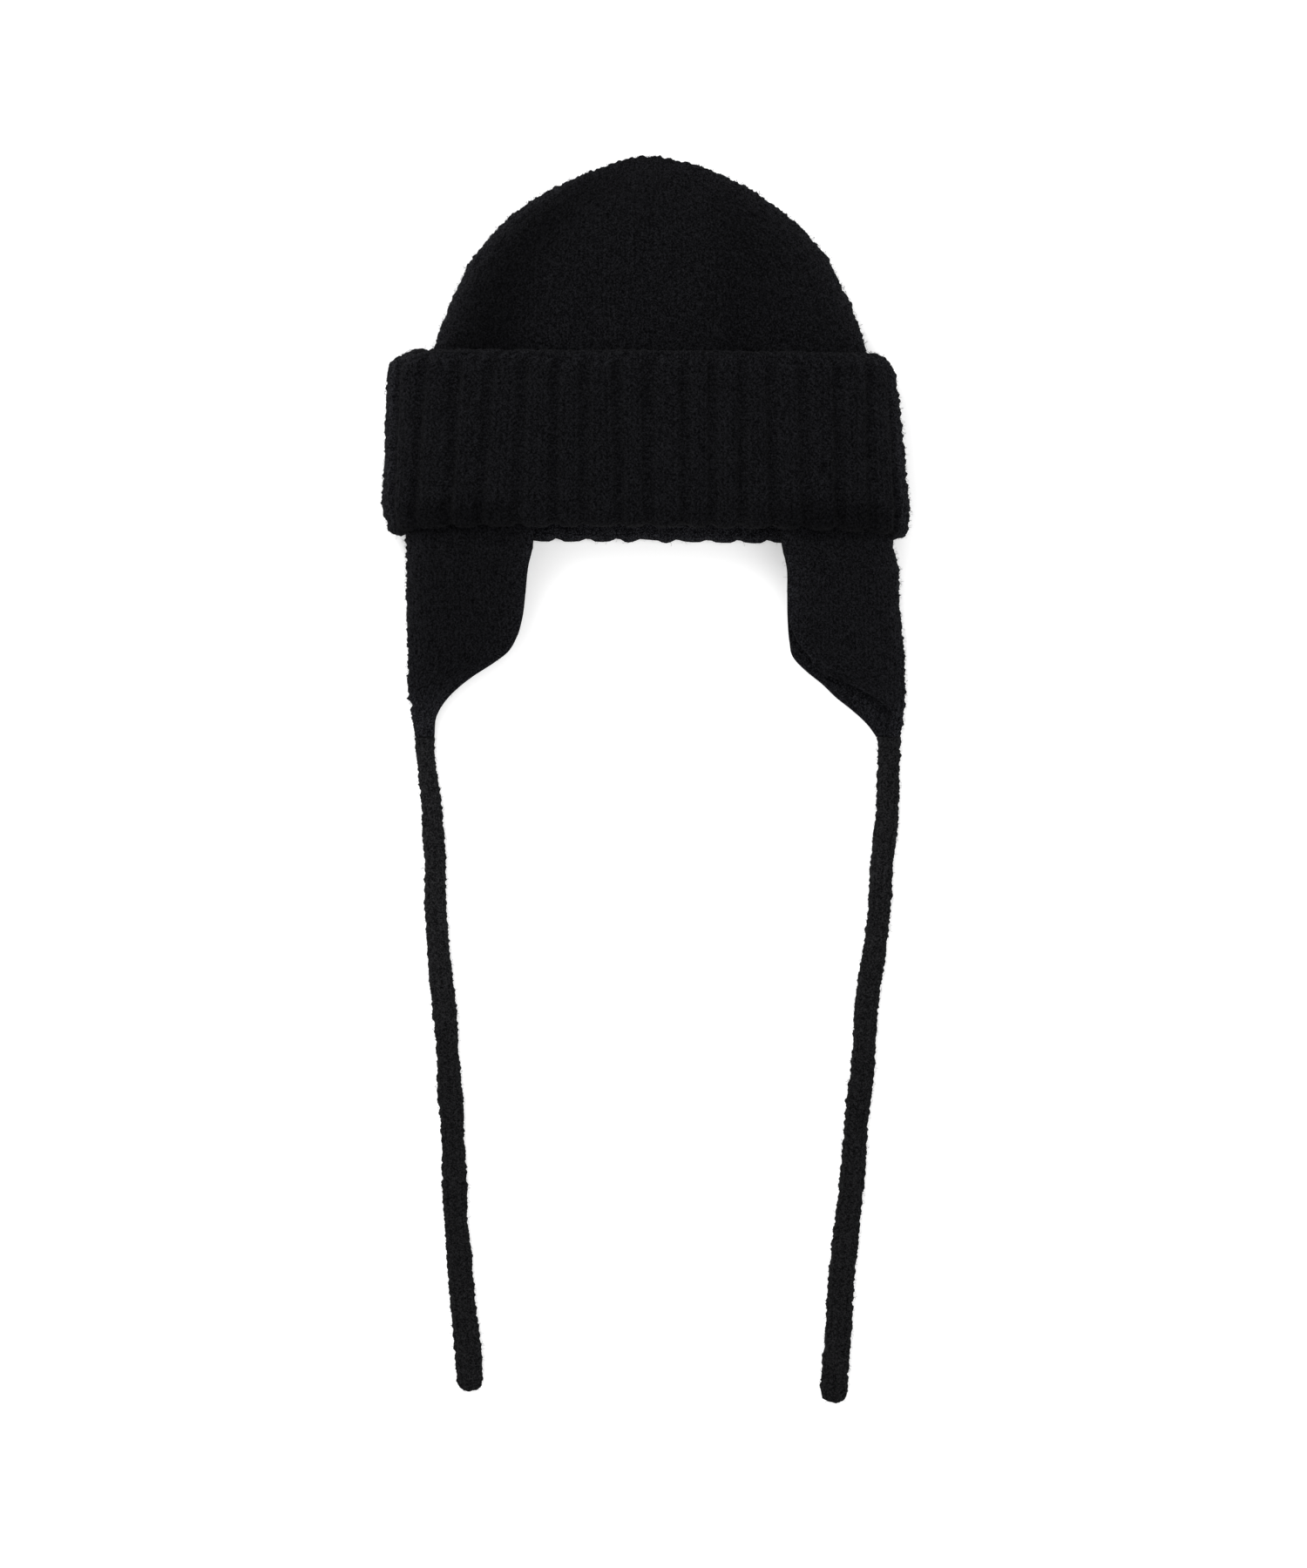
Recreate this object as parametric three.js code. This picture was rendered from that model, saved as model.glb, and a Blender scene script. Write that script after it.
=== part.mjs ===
// Knit earflap cap, lying flat on its back with the front upwards.
// Millimetres. +X is the viewer's right, +Y runs from the ear flaps to the crown, +Z is up.
// The origin is on the surface, below the middle of cap and flaps.
import * as THREE from 'three';
import { CatmullRomCurve3, ExtrudeGeometry, Shape, Vector2, Vector3 } from 'three';

// The surface that the cap lies on, knit thicknesses and the air between two pieces
const SURFACE_Z = 0;
const PIECE_GAP = 0.3;
const RIB_KNIT = 4.0;
const CROWN_KNIT = 3.4;
const FLAP_KNIT = 2.8;

// Cuff: a ribbed band, turned up, so that it has an outer leg, a fold and an inner leg
const CUFF_TOP_Y = 45.2;
const CUFF_FOLD_Y = -39.3;
const CUFF_JOIN_Y = 20;
const CUFF_HALF_WIDTH = 127.2;
const CUFF_FLARE = 0.07;
const CUFF_CORNER = 11;
const CUFF_CENTRE_SHIFT = 0.035;
const CUFF_SIDE_Z = 16.6;
const CUFF_FRONT_Z = 41.5;
const CUFF_FRONT_CROWNING = 1.0;
const CUFF_TILT = 0.008;
const BACK_HEM_DROP = 6.5;
const LEG_GAP = 0.6;
const EDGE_ROLL = 0.6;

// Ribs of the cuff, two by two. Those of the front half, from its right side to its left, lie
// so many millimetres to the viewer's right of an even spacing along the girth.
const RIB_COUNT = 36;
const RIB_DEPTH = 1.8;
const CUFF_GIRTH = 540;
const RIB_SHIFTS = [
  0, 2.7, 5.4, 4.6, 2.6, 2.0, 2.3, 3.0, 5.0, 1.7, 2.6, 0.9, 2.0, -0.1, -2.3, -2.8, -5.4, -2.7, 0,
];
const RIB_STOPS = [
  { place: 0.12, raised: 0 },
  { place: 0.26, raised: 1 },
  { place: 0.74, raised: 1 },
  { place: 0.88, raised: 0 },
];

// Body of the cap between the fold and the crown, inside the cuff
const BODY_HALF_WIDTH = 122.0;
const BODY_TAPER = 0.228;
const BODY_FRONT_Z = 36.9;
const BODY_CENTRE_X = 1.9;

// Section of a lying ring: a full front, and a back that has settled on the surface
const FRONT_POWER = 2.8;
const BACK_POWER = 5;
const BACK_SETTLE = 1.08;

// Crown, from the join inside the cuff to its top. A row for each section.
const CROWN_STEPS = 56;
const CROWN_ROWS = [
  { y: CUFF_JOIN_Y + PIECE_GAP, halfWidth: 109.5, side: 16.6, back: 4.6, front: 36.9 },
  { y: 34.0, halfWidth: 106.2, side: 16.4, back: 4.6, front: 36.2 },
  { y: 47.3, halfWidth: 103.1, side: 16.0, back: 4.5, front: 35.2 },
  { y: 58.0, halfWidth: 99.8, side: 15.4, back: 2.6, front: 34.6 },
  { y: 70.8, halfWidth: 94.9, side: 14.6, back: 0.4, front: 33.8 },
  { y: 80.0, halfWidth: 90.6, side: 14.0, back: 0.0, front: 32.9 },
  { y: 88.4, halfWidth: 86.1, side: 13.3, back: 0.0, front: 31.8 },
  { y: 97.5, halfWidth: 79.4, side: 12.5, back: 0.0, front: 30.2 },
  { y: 106.0, halfWidth: 71.8, side: 11.8, back: 0.1, front: 28.2 },
  { y: 112.8, halfWidth: 64.0, side: 11.3, back: 0.5, front: 26.3 },
  { y: 118.7, halfWidth: 55.4, side: 10.8, back: 1.0, front: 24.2 },
  { y: 126.2, halfWidth: 43.0, side: 10.2, back: 2.0, front: 20.8 },
  { y: 131.3, halfWidth: 33.2, side: 9.8, back: 3.1, front: 17.8 },
  { y: 136.3, halfWidth: 19.0, side: 9.5, back: 5.0, front: 14.0 },
];
const CROWN_TOP = { y: 139.65, z: 9.2 };

// Two soft valleys run down the front of the crown, on each side of its middle panel
const VALLEY_DEPTH = 2.4;
const VALLEY_SPREAD = 16;
const LEFT_VALLEY_SHARE = 0.72;
const RIGHT_VALLEY_X = 37;

// Ear flaps: each is one knitted sheet folded along its outer edge, sewn inside the mouth.
// A row for each section: outer is the folded edge, frontEdge and backEdge are the free edges of
// the two layers, all as distances from the middle; fold is how far the fold's rounding reaches.
const LEFT_FLAP_ROWS = [
  { y: -20.0, outer: 112.8, frontEdge: 54.5, backEdge: 54.5, back: 9.1, front: 32.2, fold: 112.8 },
  { y: -36.0, outer: 115.6, frontEdge: 54.8, backEdge: 54.8, back: 9.1, front: 32.0, fold: 115.6 },
  { y: -46.8, outer: 115.2, frontEdge: 54.8, backEdge: 54.8, back: 8.6, front: 30.4, fold: 104.0 },
  { y: -57.8, outer: 115.3, frontEdge: 57.3, backEdge: 57.3, back: 3.2, front: 26.6, fold: 80.0 },
  { y: -70.0, outer: 115.3, frontEdge: 58.6, backEdge: 58.6, back: 0.2, front: 21.8, fold: 60.0 },
  { y: -83.0, outer: 115.3, frontEdge: 60.3, backEdge: 60.3, back: 0.0, front: 16.8, fold: 40.0 },
  { y: -91.4, outer: 115.3, frontEdge: 62.8, backEdge: 62.8, back: 0.0, front: 14.0, fold: 30.0 },
  { y: -99.8, outer: 115.3, frontEdge: 68.3, backEdge: 68.3, back: 0.0, front: 11.6, fold: 22.0 },
  { y: -104.0, outer: 115.3, frontEdge: 74.0, backEdge: 74.0, back: 0.0, front: 10.6, fold: 18.0 },
  { y: -110.5, outer: 115.2, frontEdge: 84.0, backEdge: 84.0, back: 0.0, front: 9.3, fold: 14.0 },
  { y: -116.6, outer: 115.1, frontEdge: 91.8, backEdge: 91.8, back: 0.0, front: 8.3, fold: 11.0 },
  { y: -122.0, outer: 114.0, frontEdge: 97.0, backEdge: 97.0, back: 0.0, front: 7.6, fold: 9.0 },
  { y: -129.2, outer: 112.8, frontEdge: 101.4, backEdge: 101.4, back: 0.0, front: 6.9, fold: 7.0 },
  { y: -139.65, outer: 111.4, frontEdge: 102.7, backEdge: 102.7, back: 0.0, front: 6.4, fold: 6.0 },
];
const RIGHT_FLAP_ROWS = [
  { y: -20.0, outer: 113.4, frontEdge: 64.4, backEdge: 64.4, back: 9.1, front: 32.2, fold: 113.4 },
  { y: -37.0, outer: 116.2, frontEdge: 64.8, backEdge: 64.8, back: 9.2, front: 31.8, fold: 116.2 },
  { y: -47.5, outer: 118.6, frontEdge: 65.8, backEdge: 65.8, back: 8.6, front: 30.2, fold: 106.0 },
  { y: -57.8, outer: 121.4, frontEdge: 68.4, backEdge: 68.2, back: 3.2, front: 26.6, fold: 82.0 },
  { y: -70.0, outer: 122.1, frontEdge: 68.6, backEdge: 68.5, back: 0.2, front: 21.8, fold: 62.0 },
  { y: -83.0, outer: 123.1, frontEdge: 69.3, backEdge: 68.7, back: 0.0, front: 16.8, fold: 42.0 },
  { y: -93.9, outer: 124.1, frontEdge: 73.6, backEdge: 69.6, back: 0.0, front: 13.2, fold: 28.0 },
  { y: -101.0, outer: 124.6, frontEdge: 79.0, backEdge: 71.2, back: 0.0, front: 11.3, fold: 21.0 },
  { y: -108.2, outer: 125.0, frontEdge: 84.2, backEdge: 77.9, back: 0.0, front: 9.7, fold: 16.0 },
  { y: -114.0, outer: 125.3, frontEdge: 97.6, backEdge: 85.1, back: 0.0, front: 8.7, fold: 12.0 },
  { y: -120.8, outer: 125.4, frontEdge: 110.7, backEdge: 92.2, back: 0.0, front: 7.8, fold: 9.0 },
  { y: -127.0, outer: 124.8, frontEdge: 117.4, backEdge: 100.0, back: 0.0, front: 7.1, fold: 7.0 },
  { y: -133.4, outer: 123.7, frontEdge: 117.8, backEdge: 106.9, back: 0.0, front: 6.6, fold: 6.0 },
  { y: -139.65, outer: 122.9, frontEdge: 117.2, backEdge: 111.6, back: 0.0, front: 6.4, fold: 6.0 },
];
const FLAP_STEPS = 6;
const FLAP_STEP_EASE = 1.7;
const FLAP_SIDE_SHARE = 0.32;
const FLAP_LAYER_GAP = 0.3;

// Ties: flat knitted cords that run on from the flaps' tips. Their middles lie along these places.
const TIE_WIDTH = 11;
const TIE_THICKNESS = 6;
const TIE_SIDES = 12;
const TIE_STEPS = 14;
const LEFT_TIE_ROUTE = [
  [-107.0, -139.65 - PIECE_GAP], [-107.0, -145.0], [-105.4, -159.0], [-103.5, -177.5],
  [-102.0, -198.5], [-102.0, -219.5], [-100.6, -240.5], [-98.5, -261.5], [-96.6, -282.5],
  [-95.4, -303.5], [-94.0, -324.5], [-93.0, -345.5], [-92.3, -366.5], [-90.7, -387.5],
  [-89.0, -408.5], [-87.0, -429.5], [-85.4, -450.5], [-85.2, -456.4],
];
const RIGHT_TIE_ROUTE = [
  [117.4, -139.65 - PIECE_GAP], [117.4, -145.0], [117.3, -159.0], [116.6, -177.5],
  [114.4, -198.5], [113.1, -219.5], [110.9, -240.5], [107.6, -261.5], [105.8, -282.5],
  [104.3, -303.5], [101.8, -324.5], [100.3, -345.5], [98.3, -366.5], [95.9, -387.5],
  [94.0, -408.5], [92.9, -429.5], [91.1, -450.5], [90.5, -461.8],
];

// Near-black brushed wool, the ties a shade lighter
const KNIT_FINISH = { roughness: 0.95, metalness: 0 };
const CAP_BLACK = 0x0f0f12;
const TIE_BLACK = 0x141416;

function clamp01(value) {
  return Math.min(1, Math.max(0, value));
}

function inset(ring, amount) {
  const { halfWidth, up, down } = ring;
  return { ...ring, halfWidth: halfWidth - amount, up: up - amount, down: down - amount };
}

// Point of a lying ring at an angle; 0 is its right side, a quarter turn its front
function ringPoint(ring, angle) {
  const across = Math.cos(angle);
  const high = Math.sin(angle);
  const power = 2 / (high >= 0 ? FRONT_POWER : BACK_POWER);
  const x = ring.centreX + ring.halfWidth * Math.sign(across) * Math.abs(across) ** power;
  const lift = Math.abs(high) ** power;
  const z = high >= 0
    ? ring.sideZ + ring.up * lift
    : ring.sideZ - ring.down * Math.min(1, BACK_SETTLE * lift);
  return { x, z: Math.max(z, SURFACE_Z) };
}

// Angles that divide a ring's girth evenly, for shares of the girth from 0 to 1
function evenAngles(ring, shares) {
  const samples = 1440;
  const lengths = [0];
  let last = ringPoint(ring, 0);
  for (let i = 1; i <= samples; i += 1) {
    const next = ringPoint(ring, (2 * Math.PI * i) / samples);
    lengths.push(lengths[i - 1] + Math.hypot(next.x - last.x, next.z - last.z));
    last = next;
  }
  let i = 0;
  return shares.map((share) => {
    const goal = share * lengths[samples];
    while (i < samples - 1 && lengths[i + 1] < goal) {
      i += 1;
    }
    const part = (goal - lengths[i]) / (lengths[i + 1] - lengths[i]);
    return (2 * Math.PI * (i + part)) / samples;
  });
}

// Joins closed loops of points, one after the other, into one closed surface. The ends are
// closed by a point each, by the last loop meeting the first, or by the loops' own strips.
class LoopSurface {
  constructor() {
    this.points = [];
    this.faces = [];
  }

  add(points) {
    const first = this.points.length;
    this.points.push(...points);
    return { first, count: points.length };
  }

  bridge(a, b) {
    for (let i = 0; i < a.count; i += 1) {
      const next = (i + 1) % a.count;
      this.faces.push([a.first + i, b.first + i, b.first + next]);
      this.faces.push([a.first + i, b.first + next, a.first + next]);
    }
  }

  fan(point, loop, opens) {
    const tip = this.points.length;
    this.points.push(point);
    for (let i = 0; i < loop.count; i += 1) {
      const here = loop.first + i;
      const next = loop.first + ((i + 1) % loop.count);
      this.faces.push(opens ? [tip, here, next] : [tip, next, here]);
    }
  }

  // A strip closes a loop that runs out along one side of a layer and back along the other
  strip(loop, opens) {
    for (let i = 0; i < loop.count / 2 - 1; i += 1) {
      const a = loop.first + i;
      const b = a + 1;
      const d = loop.first + loop.count - 1 - i;
      const c = d - 1;
      this.faces.push(opens ? [a, b, c] : [a, c, b]);
      this.faces.push(opens ? [a, c, d] : [a, d, c]);
    }
  }

  // The volume under the faces is negative where they point inwards, and then they are turned
  geometry() {
    let volume = 0;
    for (const [a, b, c] of this.faces) {
      const [p, q, r] = [this.points[a], this.points[b], this.points[c]];
      volume += p.dot(new Vector3().crossVectors(q, r));
    }
    const faces = volume > 0 ? this.faces : this.faces.map(([a, b, c]) => [a, c, b]);
    const geometry = new THREE.BufferGeometry();
    geometry.setFromPoints(this.points);
    geometry.setIndex(faces.flat());
    geometry.computeVertexNormals();
    return geometry;
  }
}

function knitMesh(name, geometry, color) {
  const material = new THREE.MeshStandardMaterial({ color, ...KNIT_FINISH });
  const mesh = new THREE.Mesh(geometry, material);
  mesh.name = name;
  return mesh;
}

// The cuff's outer leg at a height: it widens towards the fold and has rounded top corners
function cuffRing(y) {
  const past = Math.max(0, y - (CUFF_TOP_Y - CUFF_CORNER));
  const corner = CUFF_CORNER - Math.sqrt(CUFF_CORNER ** 2 - Math.min(past, CUFF_CORNER * 0.9) ** 2);
  const middle = 1 - ((y - 2) / 46) ** 2;
  return {
    centreX: -CUFF_CENTRE_SHIFT * (y + 24),
    halfWidth: CUFF_HALF_WIDTH - CUFF_FLARE * (y + 35) - corner,
    sideZ: CUFF_SIDE_Z,
    up: CUFF_FRONT_Z + CUFF_FRONT_CROWNING * middle - CUFF_SIDE_Z,
    down: CUFF_SIDE_Z,
  };
}

// The cap's body inside the cuff, straight on from the fold to the crown's first section
function bodyRing(y) {
  const legs = RIB_KNIT + LEG_GAP;
  const risen = clamp01((y + 35) / (CUFF_JOIN_Y + 35));
  return {
    centreX: BODY_CENTRE_X * risen,
    halfWidth: BODY_HALF_WIDTH - BODY_TAPER * (y + 35),
    sideZ: CUFF_SIDE_Z,
    up: BODY_FRONT_Z - CUFF_SIDE_Z,
    down: CUFF_SIDE_Z - legs,
  };
}

// Stations of the cuff's section, once round: down the outer leg, round the fold, up the inner
// leg and back down inside. slack is how far the station follows the tilt and the dropped back.
function cuffStations() {
  const foldOuter = (2 * RIB_KNIT + LEG_GAP) / 2;
  const foldInner = LEG_GAP / 2;
  const foldY = CUFF_FOLD_Y + foldOuter;
  const joinY = CUFF_JOIN_Y;
  const outerLeg = [
    { y: CUFF_TOP_Y, inset: RIB_KNIT / 2, ribs: 0 },
    { y: CUFF_TOP_Y - 1.6, inset: -EDGE_ROLL, ribs: 0 },
    { y: CUFF_TOP_Y - 4.2, inset: 0, ribs: 0.35 },
    { y: CUFF_TOP_Y - 9, inset: 0, ribs: 1 },
    { y: 12, inset: 0, ribs: 1 },
    { y: -12, inset: 0, ribs: 1 },
    { y: foldY, inset: 0, ribs: 1 },
  ].map((station) => ({ ...station, ring: cuffRing, slack: 1 }));
  const fold = [0.25, 0.5, 0.75].map((share) => {
    const turn = share * Math.PI;
    return { y: foldY, ring: cuffRing, slack: 1, ribs: 1 - share / 2, turn, centre: foldOuter };
  });
  const inside = [
    { y: foldY, inset: RIB_KNIT, slack: 1 },
    { y: -8, inset: RIB_KNIT, slack: 0.51 },
    { y: joinY, inset: RIB_KNIT, slack: 0 },
    { y: joinY, inset: 0, slack: 0 },
    { y: -8, inset: 0, slack: 0.51 },
    { y: foldY, inset: 0, slack: 1 },
  ].map((station) => ({ ...station, ring: bodyRing, ribs: 0 }));
  const between = [
    { y: foldY - foldInner, inset: foldOuter, ribs: 0 },
    { y: foldY, inset: RIB_KNIT, ribs: 0 },
    { y: 2, inset: RIB_KNIT, ribs: 0 },
    { y: CUFF_TOP_Y - 2, inset: RIB_KNIT, ribs: 0 },
  ].map((station) => ({ ...station, ring: cuffRing, slack: 1 }));
  return [...outerLeg, ...fold, ...inside, ...between];
}

// Share of the cuff's girth at a place among its ribs
function ribShare(place) {
  const before = Math.floor(place);
  const from = RIB_SHIFTS[before] ?? 0;
  const to = RIB_SHIFTS[before + 1] ?? 0;
  return place / RIB_COUNT - (from + (to - from) * (place - before)) / CUFF_GIRTH;
}

function buildCuff() {
  const shares = [];
  const raised = [];
  for (let rib = 0; rib < RIB_COUNT; rib += 1) {
    for (const stop of RIB_STOPS) {
      shares.push(ribShare(rib + stop.place));
      raised.push(stop.raised);
    }
  }
  const surface = new LoopSurface();
  const loops = cuffStations().map((station) => {
    const ring = station.ring(station.y);
    const angles = evenAngles(ring, shares);
    const points = angles.map((angle, i) => {
      const groove = RIB_DEPTH * station.ribs * (1 - raised[i]);
      let depth = station.inset + groove;
      let y = station.y;
      if (station.turn !== undefined) {
        const reach = station.centre - groove;
        depth = station.centre - reach * Math.cos(station.turn);
        y -= reach * Math.sin(station.turn);
      }
      const { x, z } = ringPoint(inset(ring, depth), angle);
      const backShare = (1 - Math.sin(angle)) / 2;
      const low = clamp01((CUFF_JOIN_Y - station.y) / (CUFF_JOIN_Y + 35));
      y -= station.slack * (CUFF_TILT * x + BACK_HEM_DROP * backShare * low);
      return new Vector3(x, y, z);
    });
    return surface.add(points);
  });
  loops.forEach((loop, i) => surface.bridge(loop, loops[(i + 1) % loops.length]));
  return knitMesh('cuff', surface.geometry(), CAP_BLACK);
}

function crownRing(row) {
  const { halfWidth, side, back, front } = row;
  return { centreX: BODY_CENTRE_X, halfWidth, sideZ: side, up: front - side, down: side - back };
}

// How far a point on the crown's front lies in one of its two valleys, from 0 to 1
function valleyShare(x, angle, row) {
  const fromLeft = (x - BODY_CENTRE_X + LEFT_VALLEY_SHARE * row.halfWidth) / VALLEY_SPREAD;
  const fromRight = (x - RIGHT_VALLEY_X) / VALLEY_SPREAD;
  const starts = clamp01((row.y - CUFF_JOIN_Y) / 30);
  const ends = clamp01((CROWN_TOP.y - row.y) / 20);
  return Math.max(0, Math.sin(angle)) * starts * ends
    * Math.max(Math.exp(-(fromLeft ** 2)), Math.exp(-(fromRight ** 2)));
}

// Direction in which the crown's wall faces at a row: across the ring, and up towards the top
function rowFacing(i) {
  const before = CROWN_ROWS[Math.max(0, i - 1)];
  const after = CROWN_ROWS[i + 1] ?? { y: CROWN_TOP.y, halfWidth: 0 };
  const rise = after.y - before.y;
  const narrowing = before.halfWidth - after.halfWidth;
  const length = Math.hypot(rise, narrowing);
  return { across: rise / length, up: narrowing / length };
}

function crownLoop(i, depth) {
  const row = CROWN_ROWS[i];
  const facing = i === 0 ? { across: 1, up: 0 } : rowFacing(i);
  const ring = crownRing(row);
  const shares = Array.from({ length: CROWN_STEPS }, (_, k) => k / CROWN_STEPS);
  return evenAngles(ring, shares).map((angle) => {
    const outside = ringPoint(ring, angle);
    const sunk = VALLEY_DEPTH * valleyShare(outside.x, angle, row);
    const { x, z } = ringPoint(inset(ring, depth * facing.across + sunk), angle);
    return new Vector3(x, row.y - depth * facing.up, z);
  });
}

function buildCrown() {
  const surface = new LoopSurface();
  const outer = CROWN_ROWS.map((_, i) => surface.add(crownLoop(i, 0)));
  const innerCount = CROWN_ROWS.length - 1;
  const inner = CROWN_ROWS.slice(0, innerCount).map((_, i) => surface.add(crownLoop(i, CROWN_KNIT)));
  surface.fan(new Vector3(BODY_CENTRE_X, CROWN_TOP.y, CROWN_TOP.z), outer.at(-1), true);
  for (let i = outer.length - 1; i > 0; i -= 1) {
    surface.bridge(outer[i], outer[i - 1]);
  }
  surface.bridge(outer[0], inner[0]);
  for (let i = 0; i < inner.length - 1; i += 1) {
    surface.bridge(inner[i], inner[i + 1]);
  }
  const underTop = new Vector3(BODY_CENTRE_X, CROWN_TOP.y - CROWN_KNIT * 1.3, CROWN_TOP.z);
  surface.fan(underTop, inner.at(-1), false);
  return knitMesh('crown', surface.geometry(), CAP_BLACK);
}

// Height of a layer over the fold's level, from 0 at the folded edge to 1 past its rounding
function foldRise(distance, reach, power) {
  const left = 1 - clamp01(distance / reach);
  return (1 - left ** power) ** (1 / power);
}

// One side of a flap's section at a row: from the front layer's free edge, round the folded edge,
// to the back layer's free edge, sunk by a depth below the outside
function flapSide(row, side, depth) {
  const height = row.front - row.back;
  const level = row.back + Math.max(FLAP_SIDE_SHARE * height, FLAP_KNIT + FLAP_LAYER_GAP);
  const outer = row.outer - depth;
  const reach = Math.max(row.fold - depth, FLAP_KNIT);
  const up = row.front - level - depth;
  const down = level - row.back - depth;
  const points = [];
  for (let k = -FLAP_STEPS; k <= FLAP_STEPS; k += 1) {
    const share = (Math.abs(k) / FLAP_STEPS) ** FLAP_STEP_EASE;
    const edge = k < 0 ? row.frontEdge : row.backEdge;
    const distance = (outer - edge) * share;
    const z = k < 0
      ? level + up * foldRise(distance, reach, FRONT_POWER)
      : level - down * Math.min(1, BACK_SETTLE * foldRise(distance, reach, BACK_POWER));
    points.push(new Vector3(side * (outer - distance), row.y, z));
  }
  return points;
}

function buildFlap(name, side, rows) {
  const surface = new LoopSurface();
  const loops = rows.map((row) => {
    const outside = flapSide(row, side, 0);
    const inside = flapSide(row, side, FLAP_KNIT);
    return surface.add([...outside, ...inside.reverse()]);
  });
  for (let i = 0; i < loops.length - 1; i += 1) {
    surface.bridge(loops[i], loops[i + 1]);
  }
  surface.strip(loops[0], true);
  surface.strip(loops.at(-1), false);
  return knitMesh(name, surface.geometry(), CAP_BLACK);
}

function buildTie(name, route) {
  const middle = route.map(([x, y]) => new Vector3(x, y, TIE_THICKNESS / 2));
  const toFlats = TIE_THICKNESS / 2 / Math.cos(Math.PI / TIE_SIDES);
  const section = [];
  for (let i = 0; i < TIE_SIDES; i += 1) {
    const angle = (2 * Math.PI * (i + 0.5)) / TIE_SIDES;
    section.push(new Vector2(toFlats * Math.cos(angle), (TIE_WIDTH / 2) * Math.sin(angle)));
  }
  const geometry = new ExtrudeGeometry(new Shape(section), {
    extrudePath: new CatmullRomCurve3(middle),
    steps: TIE_STEPS,
  });
  return knitMesh(name, geometry, TIE_BLACK);
}

const cap = new THREE.Group();
cap.add(buildCrown());
cap.add(buildCuff());
cap.add(buildFlap('flap_left', -1, LEFT_FLAP_ROWS));
cap.add(buildFlap('flap_right', 1, RIGHT_FLAP_ROWS));
cap.add(buildTie('tie_left', LEFT_TIE_ROUTE));
cap.add(buildTie('tie_right', RIGHT_TIE_ROUTE));

export default cap;
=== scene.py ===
import math

import bpy
import numpy as np
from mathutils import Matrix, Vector


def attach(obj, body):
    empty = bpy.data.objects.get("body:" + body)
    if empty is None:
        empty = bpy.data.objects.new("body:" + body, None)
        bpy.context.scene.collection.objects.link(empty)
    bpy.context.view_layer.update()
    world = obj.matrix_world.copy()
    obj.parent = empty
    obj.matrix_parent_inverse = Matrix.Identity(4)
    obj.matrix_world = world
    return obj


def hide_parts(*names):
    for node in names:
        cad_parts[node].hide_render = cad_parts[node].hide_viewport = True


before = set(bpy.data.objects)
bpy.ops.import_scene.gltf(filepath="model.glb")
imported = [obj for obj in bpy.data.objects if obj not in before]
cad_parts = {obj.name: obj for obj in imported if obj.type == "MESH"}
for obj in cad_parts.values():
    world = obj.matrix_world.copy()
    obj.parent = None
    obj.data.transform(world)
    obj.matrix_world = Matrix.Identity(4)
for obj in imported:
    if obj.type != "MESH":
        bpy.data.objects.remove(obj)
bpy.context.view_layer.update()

MM = 0.001

# The photograph: how far apart its pixels are on the cap's outline, and its middle
PICTURE = {"width": 1500, "height": 1800, "pixel": 0.42, "zero_x": 741.5, "zero_y": 512.5}
OUTLINE_Z = 16.6
CAMERA_HEIGHT = 4000.0
SENSOR_LONG_SIDE = 36.0

# Knit thicknesses and gauges
RIB_KNIT = 4.0
CROWN_KNIT = 3.4
FLAP_KNIT = 2.8
COURSE = 2.7
CROWN_WALE = 4.5
FLAP_WALE = 4.2
TIE_WALES = 6
LEG_RISE = 1.25

# A stitch: how far it strays in its wale and course, how sharp its legs and its courses are, how
# high a purl stitch is beside a knit one, and how its height changes by chance
STRAY_WALES, STRAY_COURSES = 0.45, 0.9
LEG_SHARPNESS, COURSE_SHARPNESS = 0.55, 0.8
PURL_HEIGHT = 0.4
LOWEST_STITCH, HIGHEST_STITCH = 0.6, 1.05

# Cuff
CUFF_TOP_Y = 45.2
CUFF_FOLD_Y = -35.0
CUFF_JOIN_Y = 20.0
CUFF_HALF_WIDTH = 127.2
CUFF_FLARE = 0.07
CUFF_CORNER = 12.5
# The corners' further rounding at the fold and on the left, each with the span it changes over:
# how far below height 0, or at the top how far below the edge
FOLD_CORNER, FOLD_CORNER_SPAN = 2.2, (24, 38)
LEFT_TOP_CORNER, LEFT_TOP_SPAN = 4.2, (1, 7.5)
LEFT_FOLD_CORNER, LEFT_FOLD_SPAN = 1.3, (29, 35.5)
CUFF_CENTRE_SHIFT = 0.035
CUFF_SIDE_Z = 16.6
CUFF_FRONT_Z = 41.5
CUFF_FRONT_CROWNING = 1.0
CROWNING_MIDDLE, CROWNING_REACH = 2, 46
CUFF_TILT = 0.008
BACK_HEM_DROP = 6.5
LEG_GAP = 0.6
FOLD_RADIUS = 4.3
EDGE_ROLL = 0.8
RIB_COUNT = 36
RIB_DEPTH = 2.1
RIB_VALLEY_WIDTH = 0.19
KNIT_SHARE = 0.66
STITCHES_INSIDE_FOLD = 13
# Where the ribs' valleys cross two heights of the cuff's front, from left to right
VALLEY_HEIGHTS = (-30.4, 34.7)
VALLEY_PLACES = np.array([
    (-112.8, -108.6), (-95.6, -91.4), (-80.4, -75.8), (-62.4, -59.4), (-43.9, -43.9),
    (-30.4, -29.6), (-12.4, -14.1), (1.1, 0.6), (19.5, 18.7), (32.1, 32.1),
    (46.4, 46.4), (61.9, 60.3), (77.5, 75.8), (93.9, 93.0), (109.4, 108.6),
])

# The cap's body inside the cuff
BODY_HALF_WIDTH = 122.0
BODY_TAPER = 0.228
BODY_FRONT_Z = 36.9
BODY_CENTRE_X = 1.9

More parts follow.
